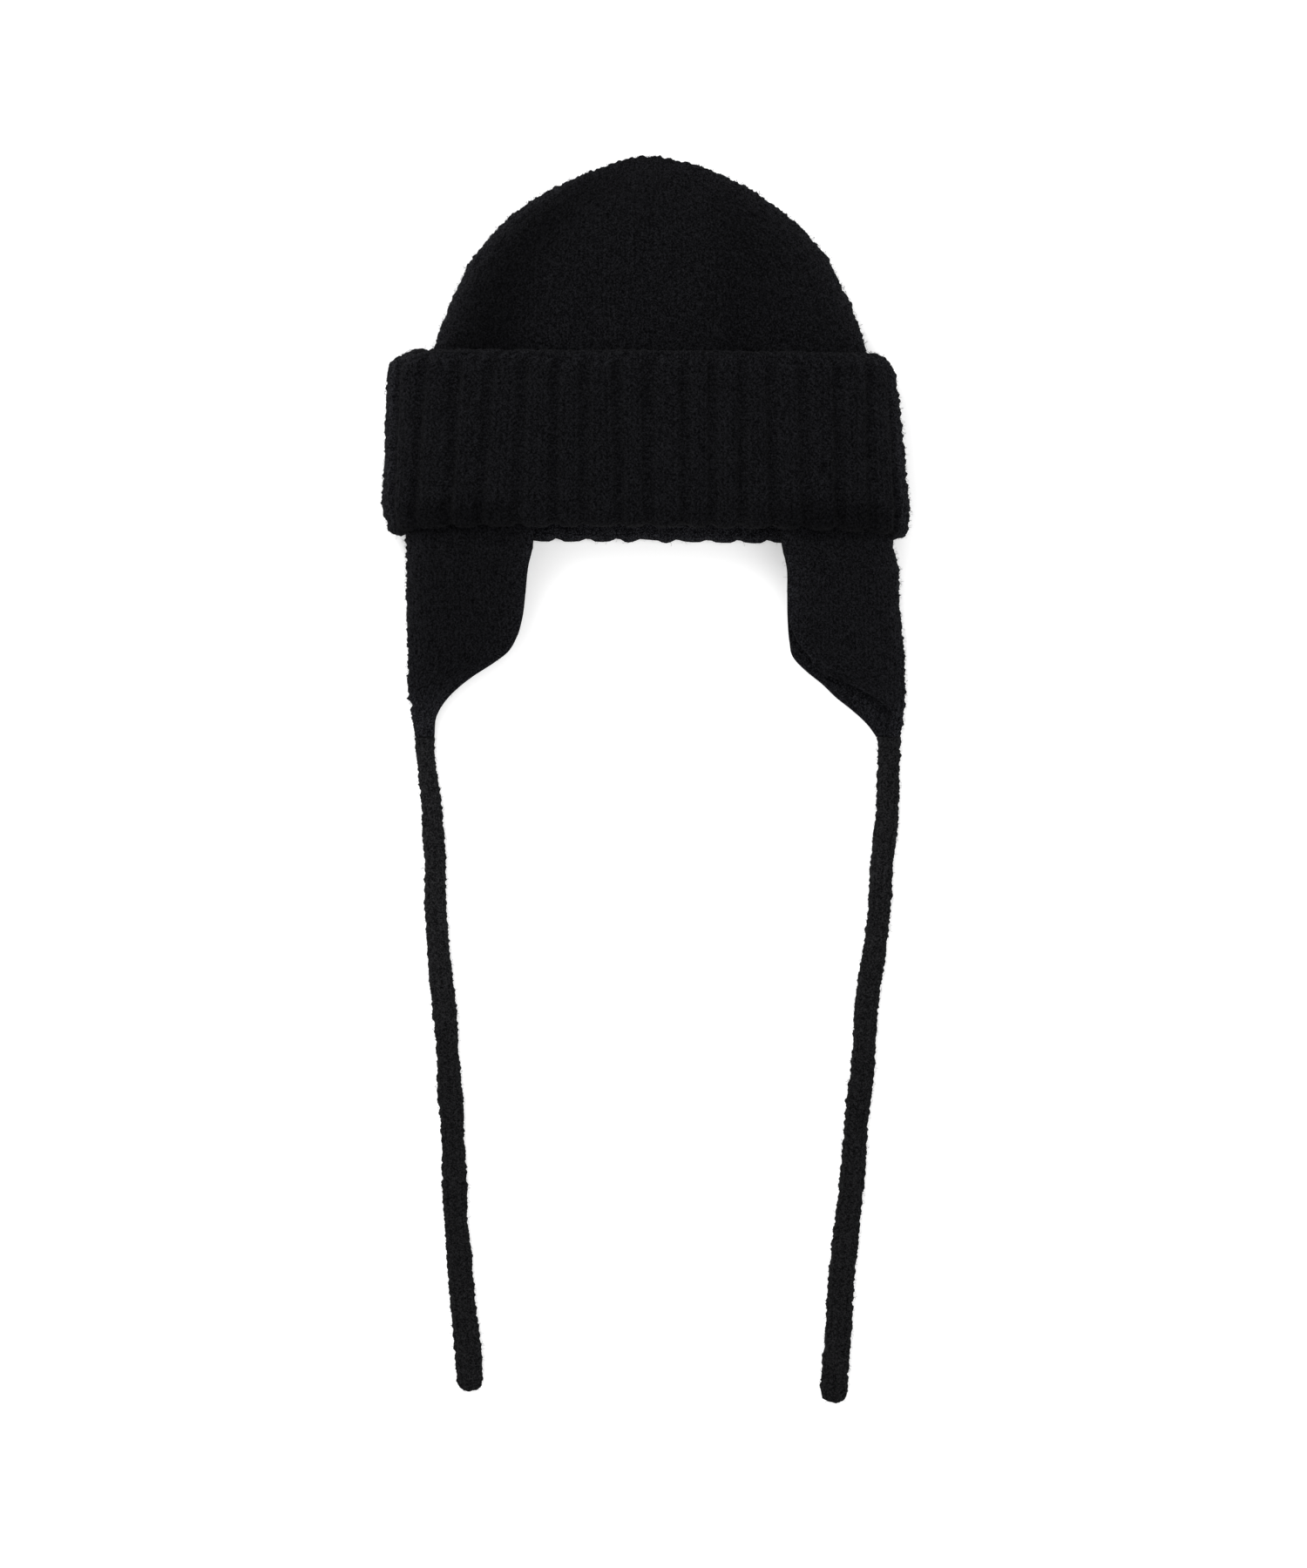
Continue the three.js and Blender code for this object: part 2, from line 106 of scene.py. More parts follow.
# Section of a lying ring: a full front and a back that has settled on the floor
FRONT_POWER = 2.8
BACK_POWER = 5.0
BACK_SETTLE = 1.08
GIRTH_STEPS = 2880

# Crown: y, half width, height of its side line, of its back and of its front
CROWN_ROWS = np.array([
    (20.3, 109.5, 16.6, 4.6, 36.9),
    (34.0, 106.2, 16.4, 4.6, 36.2),
    (47.3, 103.1, 16.0, 4.5, 35.2),
    (58.0, 99.8, 15.4, 2.6, 34.6),
    (70.8, 94.9, 14.6, 0.4, 33.8),
    (80.0, 90.6, 14.0, 0.0, 32.9),
    (88.4, 86.1, 13.3, 0.0, 31.8),
    (97.5, 79.4, 12.5, 0.0, 30.2),
    (106.0, 71.8, 11.8, 0.1, 28.2),
    (112.8, 64.0, 11.3, 0.5, 26.3),
    (118.7, 55.4, 10.8, 1.0, 24.2),
    (126.2, 43.0, 10.2, 2.0, 20.8),
    (131.3, 33.2, 9.8, 3.1, 17.8),
    (136.3, 19.0, 9.5, 5.0, 14.0),
])
CROWN_TOP = {"y": 139.65, "z": 9.2}
VALLEY = {"depth": 2.4, "spread": 16.0, "left_share": 0.72, "right_x": 37.0}
CROWN_LOOPS, CROWN_SHOWN_COLUMNS, CROWN_FLOOR_COLUMNS = 132, 430, 74

# Flaps: y, folded edge, front layer's edge, back layer's edge, heights of back and front, and how
# far the fold's rounding reaches, all from the middle outwards
LEFT_FLAP_ROWS = np.array([
    (-20.0, 112.8, 54.5, 54.5, 9.1, 32.2, 112.8),
    (-36.0, 115.6, 54.8, 54.8, 9.1, 32.0, 115.6),
    (-46.8, 115.2, 54.8, 54.8, 8.6, 30.4, 104.0),
    (-57.8, 115.3, 57.3, 57.3, 3.2, 26.6, 80.0),
    (-70.0, 115.3, 58.6, 58.6, 0.2, 21.8, 60.0),
    (-83.0, 115.3, 60.3, 60.3, 0.0, 16.8, 40.0),
    (-91.4, 115.3, 62.8, 62.8, 0.0, 14.0, 30.0),
    (-99.8, 115.3, 68.3, 68.3, 0.0, 11.6, 22.0),
    (-104.0, 115.3, 74.0, 74.0, 0.0, 10.6, 18.0),
    (-110.5, 115.2, 84.0, 84.0, 0.0, 9.3, 14.0),
    (-116.6, 115.1, 91.8, 91.8, 0.0, 8.3, 11.0),
    (-122.0, 114.0, 97.0, 97.0, 0.0, 7.6, 9.0),
    (-129.2, 112.8, 101.4, 101.4, 0.0, 6.9, 7.0),
    (-139.65, 111.4, 102.7, 102.7, 0.0, 6.4, 6.0),
])
RIGHT_FLAP_ROWS = np.array([
    (-20.0, 113.4, 64.4, 64.4, 9.1, 32.2, 113.4),
    (-37.0, 116.2, 64.8, 64.8, 9.2, 31.8, 116.2),
    (-47.5, 118.6, 65.8, 65.8, 8.6, 30.2, 106.0),
    (-57.8, 121.4, 68.4, 68.2, 3.2, 26.6, 82.0),
    (-70.0, 122.1, 68.6, 68.5, 0.2, 21.8, 62.0),
    (-83.0, 123.1, 69.3, 68.7, 0.0, 16.8, 42.0),
    (-93.9, 124.1, 73.6, 69.6, 0.0, 13.2, 28.0),
    (-101.0, 124.6, 79.0, 71.2, 0.0, 11.3, 21.0),
    (-108.2, 125.0, 84.2, 77.9, 0.0, 9.7, 16.0),
    (-114.0, 125.3, 97.6, 85.1, 0.0, 8.7, 12.0),
    (-120.8, 125.4, 110.7, 92.2, 0.0, 7.8, 9.0),
    (-127.0, 124.8, 117.4, 100.0, 0.0, 7.1, 7.0),
    (-133.4, 123.7, 117.8, 106.9, 0.0, 6.6, 6.0),
    (-139.65, 122.9, 117.2, 111.6, 0.0, 6.4, 6.0),
])
FLAP_SIDE_SHARE = 0.32
FLAP_LAYER_GAP = 0.3
FLAP_LOOPS = 156
FLAP_COLUMNS = {"front": 112, "back": 46, "inner_front": 40, "inner_back": 86}

# Ties: the places of their middles, and their widths, from flap to end
TIE_STEP = 21.0
TIE_HEIGHTS = (-139.95, -145.0, -159.0, *(-177.5 - TIE_STEP * np.arange(14)))
LEFT_TIE_ROUTE = np.column_stack([(
    -107.0, -107.0, -105.4, -103.5, -102.0, -102.0, -100.6, -98.5, -96.6, -95.4, -94.0, -93.0,
    -92.3, -90.7, -89.0, -87.0, -85.4, -85.2,
), (*TIE_HEIGHTS, -456.4)])
RIGHT_TIE_ROUTE = np.column_stack([(
    117.4, 117.4, 117.3, 116.6, 114.4, 113.1, 110.9, 107.6, 105.8, 104.3, 101.8, 100.3,
    98.3, 95.9, 94.0, 92.9, 91.1, 90.5,
), (*TIE_HEIGHTS, -461.8)])
LEFT_TIE_WIDTHS = [
    8.6, 9.2, 10.1, 10.1, 10.1, 10.9, 11.6, 10.7, 12.4, 10.9, 12.6, 11.3, 12.6, 12.2, 12.8, 12.8,
]
RIGHT_TIE_WIDTHS = [
    10.7, 10.7, 10.9, 11.3, 10.9, 11.3, 11.5, 11.3, 12.0, 11.7, 12.0, 12.4, 12.8, 12.8, 12.8, 13.6,
]
TIE_FIRST_WIDTH_AT = 6
TIE_WIDER_AT_FLAP = 1.2
TIE_THICKNESS = 6.0
TIE_GAP = 0.2
TIE_RING_STEP = 0.75
TIE_COLUMNS = 48
TIE_SECTION_POWER = 2.6
TIE_END_ROUNDING = 6.0
TIE_RELIEF_BESIDE, TIE_RELIEF_ABOVE = 0.35, 0.25

# How light the wool is painted: its plain tone, with painted highlights on its rims and edges,
# painted light where it lies in shade, and painted shade in the crown's valleys and above the
# cuff's fold, added or taken off in places
RIM_WIDTH = 4.5
# Cuff: plain tone; painted highlights on the rolled top edge and the sides; painted light in the
# side valleys and on the back's hem inside the mouth, which lie in shade
CUFF_TONE_AND_PAINTED_LIGHT = {"plain": 1.2, "edge": 0.4, "side": 1.5, "side_valley_painted_light": 0.6, "hem_painted_light": 2.6}
# Crown: plain tone; painted shade in its left and right valleys; painted rim highlights on its left
# and right sides
CROWN_TONE_AND_PAINTED_LIGHT = {"plain": 1.25, "left_valley_painted_shade": 0.7, "right_valley_painted_shade": 0.26, "left": 2.0, "right": 1.5}
# Flaps: painted highlights on the front layer's free edge, the folded side and the cut edges;
# painted light on the layer below and on its inside, which lie in shade
FLAP_PAINTED_LIGHT = {"free_edge_highlight": 0.35, "low_layer_painted_light": 0.4, "side": 1.2, "cut_edge": 0.9}
FLAP_INSIDE_PAINTED_LIGHT, FLAP_CUT_PAINTED_HIGHLIGHT = 1.6, 1.2

# How the wool's lightness changes with its curls, strands, clouds and the height of its stitches,
# the last a painted shade between them
WOOL_LIGHTNESS = {"plain": 0.38, "curls": 2.2, "strands": 6.6, "clouds": 0.25, "pile": 0.7}
FIBRE_THICKNESS = 0.14

# The studio, in metres and watts: each light's name, place, size and power
FLOOR_REACH, FLOOR_Z = 9.0, -0.0004
LIGHTS = (
    ("soft_key_light", (-0.9, 1.1, 1.5), 1.2, 26.0),
    ("soft_fill_light", (1.1, -0.4, 1.9), 1.6, 8.0),
)
LIGHTS_AIM = (0, -0.05, 0)


def rim(distance):
    """How strongly a side shows its painted rim highlight and its rougher outline, by its distance
    in from the outline.
    """
    return np.exp(-np.maximum(distance, 0) / RIM_WIDTH)


def smooth_step(value, low, high):
    """Rises softly from 0 at low to 1 at high."""
    share = np.clip((value - low) / (high - low), 0, 1)
    return share * share * (3 - 2 * share)


def lengths_along(x, y):
    """How long a line of points is up to each of them; every row is a line of its own."""
    steps = np.hypot(np.diff(x), np.diff(y))
    return np.concatenate([np.zeros_like(steps[..., :1]), np.cumsum(steps, axis=-1)], axis=-1)


def leg_rise(wale):
    """How far a stitch's legs have risen from its middle, in courses."""
    return LEG_RISE * np.abs(2 * (wale % 1) - 1)


def points_at(x, y, z):
    return np.stack(np.broadcast_arrays(x, y, z), axis=-1)


def along_table(places, values, at):
    """A column of a table at any place, on a smooth curve through its rows."""
    slopes = np.gradient(values, places)
    i = np.clip(np.searchsorted(places, at, side="right") - 1, 0, len(places) - 2)
    span = places[i + 1] - places[i]
    t = np.clip((at - places[i]) / span, 0, 1)
    return (
        (2 * t**3 - 3 * t**2 + 1) * values[i]
        + (t**3 - 2 * t**2 + t) * span * slopes[i]
        + (3 * t**2 - 2 * t**3) * values[i + 1]
        + (t**3 - t**2) * span * slopes[i + 1]
    )


def in_scene(name, data):
    """A new object in the scene, at its origin."""
    made = bpy.data.objects.new(name, data)
    bpy.context.scene.collection.objects.link(made)
    return made


# The camera


def look_down_from_above():
    """The camera of a flat-lay: straight above the picture's middle, with a long lens."""
    pixel = PICTURE["pixel"] * MM
    x = (PICTURE["width"] / 2 - PICTURE["zero_x"]) * pixel
    y = (PICTURE["zero_y"] - PICTURE["height"] / 2) * pixel
    camera = in_scene("flat_lay_camera", bpy.data.cameras.new("flat_lay_camera"))
    camera.data.sensor_width = SENSOR_LONG_SIDE
    camera.data.lens = SENSOR_LONG_SIDE * CAMERA_HEIGHT * MM / (PICTURE["height"] * pixel)
    camera.data.clip_start, camera.data.clip_end = 0.05, 50
    camera.location = (x, y, (CAMERA_HEIGHT + OUTLINE_Z) * MM)
    bpy.context.scene.camera = camera


look_down_from_above()


# Node trees


def sum_of(operation, reflected=False):
    """A method that adds a Math node for a Value and what it meets, and gives the result."""

    def method(self, *others):
        values = dict(enumerate((*others, self) if reflected else (self, *others)))
        return self.tree.add("ShaderNodeMath", values, operation=operation).out(0)

    return method


class Value:
    """A node's socket that takes part in sums; each sum adds its Math node to the tree."""

    def __init__(self, tree, socket):
        self.tree, self.socket = tree, socket

    __add__, __radd__ = sum_of("ADD"), sum_of("ADD", reflected=True)
    __sub__, __rsub__ = sum_of("SUBTRACT"), sum_of("SUBTRACT", reflected=True)
    __mul__, __rmul__ = sum_of("MULTIPLY"), sum_of("MULTIPLY", reflected=True)
    __pow__, __rpow__ = sum_of("POWER"), sum_of("POWER", reflected=True)
    __abs__, sine, floor = sum_of("ABSOLUTE"), sum_of("SINE"), sum_of("FLOOR")


class Made:
    """A node that a tree has made."""

    def __init__(self, tree, node):
        self.tree, self.node = tree, node

    def out(self, name):
        return Value(self.tree, self.node.outputs[name])


class Tree:
    """A node tree, of a material or of Geometry Nodes, that nodes are added to by one call."""

    def __init__(self, nodes):
        self.nodes = nodes

    def add(self, kind, sockets=None, **settings):
        """Makes a node, gives it its settings, and then its sockets their values or links."""
        node = self.nodes.nodes.new(kind)
        for name, value in settings.items():
            setattr(node, name, value)
        for name, value in (sockets or {}).items():
            self.put(value, node.inputs[name])
        return Made(self, node)

    def put(self, value, socket):
        if isinstance(value, Value):
            self.nodes.links.new(value.socket, socket)
        else:
            socket.default_value = value

    def random(self, lowest, highest, seed, number=None):
        """A number by chance for each point, or for each that has a number of its own."""
        sockets = {"Min": lowest, "Max": highest, "Seed": seed}
        if number is not None:
            sockets["ID"] = number
        return self.add("FunctionNodeRandomValue", sockets, data_type="FLOAT").out(1)

    def noise(self, place, scale, detail=2.0, roughness=0.5, distortion=0.0):
        """Noise round 0.5; its scale is how many of its dents a metre holds."""
        return self.add("ShaderNodeTexNoise", {
            "Vector": place,
            "Scale": scale,
            "Detail": detail,
            "Roughness": roughness,
            "Distortion": distortion,
        }).out(0)


def geometry_tree(name, *numbers):
    """A Geometry Nodes tree that takes these numbers; returns it with its input and output."""
    group = bpy.data.node_groups.new(name, "GeometryNodeTree")
    inputs = {"Geometry": "Geometry", **dict.fromkeys(numbers, "Float")}
    inputs.update({"Seed": "Int", "Material": "Material"})
    for label, kind in inputs.items():
        group.interface.new_socket(label, in_out="INPUT", socket_type="NodeSocket" + kind)
    group.interface.new_socket("Geometry", in_out="OUTPUT", socket_type="NodeSocketGeometry")
    tree = Tree(group)
    return tree, tree.add("NodeGroupInput"), tree.add("NodeGroupOutput")


def finish_tree(tree, ending, geometry, material):
    """Instances become real and the material is set, which ends each of the trees."""
    real = tree.add("GeometryNodeRealizeInstances", {"Geometry": geometry})
    painted = tree.add("GeometryNodeSetMaterial", {
        "Geometry": real.out("Geometry"), "Material": material,
    })
    tree.put(painted.out("Geometry"), ending.node.inputs[0])


def attribute(tree, name):
    return tree.add("GeometryNodeInputNamedAttribute", {"Name": name}).out("Attribute")


def knit_relief_tree():
    """Raises the stitches on a piece whose points know their wale and course."""
    tree, given, ending = geometry_tree("knit_relief", "Stitch Depth", "Unevenness", "Softness")
    place = tree.add("GeometryNodeInputPosition").out("Position")
    drift = tree.noise(place, 170.0, detail=1.0)
    wale = attribute(tree, "wale") + (drift - 0.5) * STRAY_WALES
    course = attribute(tree, "course") + (drift - 0.5) * STRAY_COURSES
    knit, purl = attribute(tree, "knit"), attribute(tree, "purl")
    across = abs((wale * (2 * math.pi)).sine()) ** LEG_SHARPNESS
    along = abs((course * math.pi).sine()) ** COURSE_SHARPNESS
    # Each stitch has a number of its own; a piece has fewer half wales than 977
    stitch = (wale * 2).floor() + course.floor() * 977
    chance = tree.random(LOWEST_STITCH, HIGHEST_STITCH, given.out("Seed"), stitch)
    height = along * (knit * across + purl * PURL_HEIGHT) * chance
    dents = tree.noise(place, 34.0)
    grain = tree.noise(place, 340.0, detail=3.0, roughness=0.7)
    shown = attribute(tree, "shown")
    rise = (
        height * given.out("Stitch Depth")
        + (dents - 0.5) * given.out("Unevenness") * shown
        + (grain - 0.5) * given.out("Softness") * shown
    )
    facing = tree.add("GeometryNodeInputNormal").out("Normal")
    offset = tree.add("ShaderNodeVectorMath", {0: facing, "Scale": rise}, operation="SCALE")
    stored = tree.add("GeometryNodeStoreNamedAttribute", {
        "Geometry": given.out("Geometry"), "Name": "pile", "Value": height,
    })
    moved = tree.add("GeometryNodeSetPosition", {
        "Geometry": stored.out("Geometry"), "Offset": offset.out(0),
    })
    smooth = tree.add("GeometryNodeSetShadeSmooth", {
        "Geometry": moved.out("Geometry"), "Shade Smooth": True,
    })
    finish_tree(tree, ending, smooth.out("Geometry"), given.out("Material"))
    return tree.nodes


def wool_fuzz_tree():
    """Sets short bent fibres on the shown faces of a piece, thicker round its sides."""
    tree, given, ending = geometry_tree(
        "wool_fuzz", "Fibres per Square Metre", "Fibre Length", "Fibre Thickness"
    )
    seed, length = given.out("Seed"), given.out("Fibre Length")
    facing = tree.add("GeometryNodeInputNormal").out("Normal")
    upward = tree.add("ShaderNodeSeparateXYZ", {0: facing}).out("Z")
    edge = 1 - abs(upward)
    density = attribute(tree, "shown") * given.out("Fibres per Square Metre") * (0.35 + edge * 1.6)
    points = tree.add("GeometryNodeDistributePointsOnFaces", {
        "Mesh": given.out("Geometry"), "Density": density, "Seed": seed,
    })
    round_section = tree.add("GeometryNodeCurvePrimitiveCircle", {
        "Resolution": 3, "Radius": given.out("Fibre Thickness") * 0.5,
    })
    shapes = tree.add("GeometryNodeJoinGeometry")
    for lean, reach, height in ((0.55, 0.75, 0.62), (0.15, 0.85, 0.3), (0.75, 0.35, 0.8)):
        middle = tree.add("ShaderNodeCombineXYZ", {0: length * lean, 2: length * height})
        end = tree.add("ShaderNodeCombineXYZ", {0: length * reach, 2: length * height * 0.55})
        arc = tree.add("GeometryNodeCurveQuadraticBezier", {
            "Resolution": 3, "Middle": middle.out(0), "End": end.out(0), "Start": (0, 0, 0),
        })
        fibre = tree.add("GeometryNodeCurveToMesh", {
            "Curve": arc.out(0), "Profile Curve": round_section.out(0), "Fill Caps": True,
        })
        single = tree.add("GeometryNodeGeometryToInstance", {0: fibre.out(0)})
        tree.put(single.out(0), shapes.node.inputs[0])
    normal = points.out("Normal")
    upright = tree.add("FunctionNodeAlignRotationToVector", {"Vector": normal}, axis="Z")
    turn = tree.add("FunctionNodeRandomValue", {
        "Min": (-0.9, -0.9, 0.0), "Max": (0.9, 0.9, 2 * math.pi), "Seed": seed,
    }, data_type="FLOAT_VECTOR")
    turned = tree.add("FunctionNodeRotateRotation", {
        "Rotation": upright.out(0), "Rotate By": turn.out(0),
    }, rotation_space="LOCAL")
    fibres = tree.add("GeometryNodeInstanceOnPoints", {
        "Points": points.out("Points"),
        "Instance": shapes.out(0),
        "Pick Instance": True,
        "Rotation": turned.out(0),
        "Scale": tree.random(0.45, 1.0, seed + 5),
    })
    finish_tree(tree, ending, fibres.out(0), given.out("Material"))
    return tree.nodes


def run_tree(piece, group, values):
    """Runs a Geometry Nodes tree on a piece and gives the result as a plain mesh."""
    modifier = piece.modifiers.new(group.name, "NODES")
    modifier.node_group = group
    for item in group.interface.items_tree:
        if item.in_out == "INPUT" and item.name in values:
            modifier[item.identifier] = values[item.name]
    graph = bpy.context.evaluated_depsgraph_get()
    graph.update()
    made = bpy.data.meshes.new_from_object(
        piece.evaluated_get(graph), preserve_all_data_layers=True, depsgraph=graph
    )
    piece.modifiers.remove(modifier)
    return made


# The wool


def new_material(name):
    """A material, its tree, as yet bare, and the place on its object."""
    material = bpy.data.materials.new(name)
    material.use_nodes = True
    material.node_tree.nodes.clear()
    tree = Tree(material.node_tree)
    return material, tree, tree.add("ShaderNodeTexCoord").out("Object")


def shade(tree, sockets):
    """The shader that ends a material's tree."""
    shader = tree.add("ShaderNodeBsdfPrincipled", sockets)
    output = tree.add("ShaderNodeOutputMaterial")
    tree.put(shader.out(0), output.node.inputs["Surface"])


def wool(name, groove, ridge, sheen):
    """Near-black brushed wool: curled fibres, painted shade between the stitches, pale at grazing
    from its sheen; its colour is scaled by each piece's tone with its painted light and shade.
    """
    material, tree, place = new_material(name)
    pile = tree.add("ShaderNodeAttribute", attribute_name="pile").out("Fac")
    tone_and_painted_light = tree.add("ShaderNodeAttribute", attribute_name="tone_and_painted_light").out("Fac")
    clouds = tree.noise(place, 60.0, detail=3.0, roughness=0.6)
    curls = tree.noise(place, 720.0, detail=3.0, roughness=0.7, distortion=1.6)
    strands = tree.noise(place, 1500.0, detail=3.0, roughness=0.65, distortion=0.8)
    lightness = (
        WOOL_LIGHTNESS["plain"]
        + (curls - 0.5) * WOOL_LIGHTNESS["curls"]
        + (strands - 0.5) * WOOL_LIGHTNESS["strands"]
        + (clouds - 0.5) * WOOL_LIGHTNESS["clouds"]
        + (pile - 0.4) * WOOL_LIGHTNESS["pile"]
    )
    # Mix keeps its colours at places 6 and 7; their names are those of its numbers too
    colours = {0: lightness, 6: (*groove, 1), 7: (*ridge, 1)}
    mixed = tree.add("ShaderNodeMix", colours, data_type="RGBA")
    # Each piece's tone, with its painted light and shade, scales the colour
    scaled = {0: mixed.out(2), "Scale": tone_and_painted_light}
    colour = tree.add("ShaderNodeVectorMath", scaled, operation="SCALE")
    bump = tree.add("ShaderNodeBump", {
        "Strength": 1.0, "Distance": 0.0009, "Height": strands * 0.4 + curls * 0.9,
    })
    shade(tree, {
        "Base Color": colour.out(0),
        "Roughness": 0.86 + clouds * 0.14,
        "Specular IOR Level": 0.03,
        "Sheen Weight": sheen,
        "Sheen Roughness": 0.38,
        "Sheen Tint": (0.56, 0.56, 0.58, 1),
        "Normal": bump.out(0),
    })
    return material


def plain_finish(name, colour, roughness, glow=0.0):
    """A matt finish with a slight mottle; the floor's is a light table's, which glows."""
    material, tree, place = new_material(name)
    mottle = tree.noise(place, 240.0)
    shade(tree, {
        "Base Color": (*colour, 1),
        "Roughness": roughness + mottle * 0.1,
        "Specular IOR Level": 0.1,
        "Emission Strength": glow,
    })
    return material


CAP_WOOL = wool("cap_wool", (0.0004, 0.0004, 0.0006), (0.0084, 0.0085, 0.0098), 0.024)
TIE_WOOL = wool("tie_wool", (0.0012, 0.0012, 0.0014), (0.016, 0.016, 0.017), 0.046)
FUZZ_WOOL = plain_finish("fuzz_wool", (0.01, 0.01, 0.011), 0.85)
KNIT_RELIEF = knit_relief_tree()
WOOL_FUZZ = wool_fuzz_tree()


# Meshes


def grid_quads(rows, columns, rows_meet=False, columns_meet=True):
    """Quads of a grid of points that is stored row by row."""
    r = np.arange(rows if rows_meet else rows - 1)[:, None]
    c = np.arange(columns if columns_meet else columns - 1)[None, :]
    below, beside = (r + 1) % rows, (c + 1) % columns
    corners = (r * columns + c, below * columns + c, below * columns + beside, r * columns + beside)
    return np.stack(np.broadcast_arrays(*corners), axis=-1).reshape(-1, 4)


def pole_triangles(point, first, columns, rising):
    """Triangles from a pole's point to the loop of points that starts at first."""
    here = first + np.arange(columns)
    beside = first + (np.arange(columns) + 1) % columns
    tip = np.full(columns, point)
    return np.stack((tip, here, beside) if rising else (tip, beside, here), axis=-1)


def pointed_tube(loops, wide, rising):
    """Faces of loops of points between two poles' points, which are stored first and last."""
    last = 1 + (loops - 1) * wide
    poles = pole_triangles(0, 1, wide, rising), pole_triangles(last + wide, last, wide, not rising)
    return grid_quads(loops, wide) + 1, np.vstack(poles)


def outward(points, quads, triangles):
    """The faces, turned round if they enclose a negative volume."""
    faces = np.vstack([quads[:, [0, 1, 2]], quads[:, [0, 2, 3]], triangles])
    a, b, c = (points[faces[:, i]] for i in range(3))
    volume = (a * np.cross(b, c)).sum()
    return (quads, triangles) if volume > 0 else (quads[:, ::-1], triangles[:, ::-1])


def cloth(name, points, quads, triangles, fields):
    """A closed piece of cloth. Points are in millimetres; fields are its points' knit values."""
    points = np.asarray(points, float).reshape(-1, 3)
    triangles = np.asarray(triangles, int).reshape(-1, 3)
    quads, triangles = outward(points, quads, triangles)
    mesh = bpy.data.meshes.new(name)
    mesh.from_pydata((points * MM).tolist(), [], quads.tolist() + triangles.tolist())
    for field, values in fields.items():
        layer = mesh.attributes.new(field, "FLOAT", "POINT")
        layer.data.foreach_set("value", np.asarray(values, np.float32).ravel())
    mesh.update()
    return in_scene(name, mesh)


def keep_off_floor(mesh):
    """Lifts the points that the relief has put below the floor."""
    co = np.zeros(len(mesh.vertices) * 3, np.float32)
    mesh.vertices.foreach_get("co", co)
    co[2::3] = np.maximum(co[2::3], 0.0)
    mesh.vertices.foreach_set("co", co)
    mesh.update()


def knit(piece, material, depth, unevenness, softness, seed):
    """Gives a piece its stitches; the sizes of its relief are in millimetres."""
    plain = piece.data
    piece.data = run_tree(piece, KNIT_RELIEF, {
        "Stitch Depth": depth * MM,
        "Unevenness": unevenness * MM,
        "Softness": softness * MM,
        "Seed": seed,
        "Material": material,
    })
    bpy.data.meshes.remove(plain)
    keep_off_floor(piece.data)


def fuzz(piece, name, density, length, seed):
    """The loose fibres that stand off a knitted piece, as a piece of their own."""
    mesh = run_tree(piece, WOOL_FUZZ, {
        "Fibres per Square Metre": density,
        "Fibre Length": length * MM,
        "Fibre Thickness": FIBRE_THICKNESS * MM,
        "Seed": seed,
        "Material": FUZZ_WOOL,
    })
    mesh.name = name
    keep_off_floor(mesh)
    return in_scene(name, mesh)


# Rings that lie on their backs


def ring_point(ring, inset, angle):
    """Point of a lying ring; angle 0 is its right side, a quarter turn its front."""
    across, high = np.cos(angle), np.sin(angle)
    front = high >= 0
    power = np.where(front, 2 / FRONT_POWER, 2 / BACK_POWER)
    x = ring["x"] + (ring["half"] - inset) * np.sign(across) * np.abs(across) ** power
    lift = np.abs(high) ** power
    above = ring["side"] + (ring["up"] - inset) * lift
    below = ring["side"] - (ring["down"] - inset) * np.minimum(1, BACK_SETTLE * lift)
    return x, np.maximum(np.where(front, above, below), 0)


def as_columns(ring):
    """A ring's values as columns, a row for each section."""
    return {key: np.reshape(value, (-1, 1)) for key, value in ring.items()}


def girth_angles(ring, shares):
    """Angles at shares of the girth, the same ones or a row for each section; and the girths."""
    turn = np.linspace(0, 2 * math.pi, GIRTH_STEPS + 1)
    x, z = ring_point(as_columns(ring), 0, turn[None, :])
    lengths = lengths_along(x, z)
    wanted = np.broadcast_to(shares, (len(x), np.shape(shares)[-1]))
    angles = [np.interp(w * row[-1], row, turn) for w, row in zip(wanted, lengths)]
    return np.array(angles), lengths[:, -1]


def cuff_ring(y):
    """The outer leg's outside at a height."""
    past = np.maximum(0, y - (CUFF_TOP_Y - CUFF_CORNER))
    corner = CUFF_CORNER - np.sqrt(CUFF_CORNER**2 - np.minimum(past, CUFF_CORNER * 0.9) ** 2)
    by_fold = FOLD_CORNER * smooth_step(-y, *FOLD_CORNER_SPAN)
    middle = 1 - ((y - CROWNING_MIDDLE) / CROWNING_REACH) ** 2
    # The left corners are the rounder ones
    left = LEFT_TOP_CORNER * (1 - smooth_step(CUFF_TOP_Y - y, *LEFT_TOP_SPAN))
    left = left + LEFT_FOLD_CORNER * smooth_step(-y, *LEFT_FOLD_SPAN)
    return {
        "x": left / 2 - CUFF_CENTRE_SHIFT * (y + 24),
        "half": CUFF_HALF_WIDTH - CUFF_FLARE * (y - CUFF_FOLD_Y) - corner - by_fold - left / 2,
        "side": CUFF_SIDE_Z + 0 * y,
        "up": CUFF_FRONT_Z + CUFF_FRONT_CROWNING * middle - CUFF_SIDE_Z,
        "down": CUFF_SIDE_Z + 0 * y,
    }


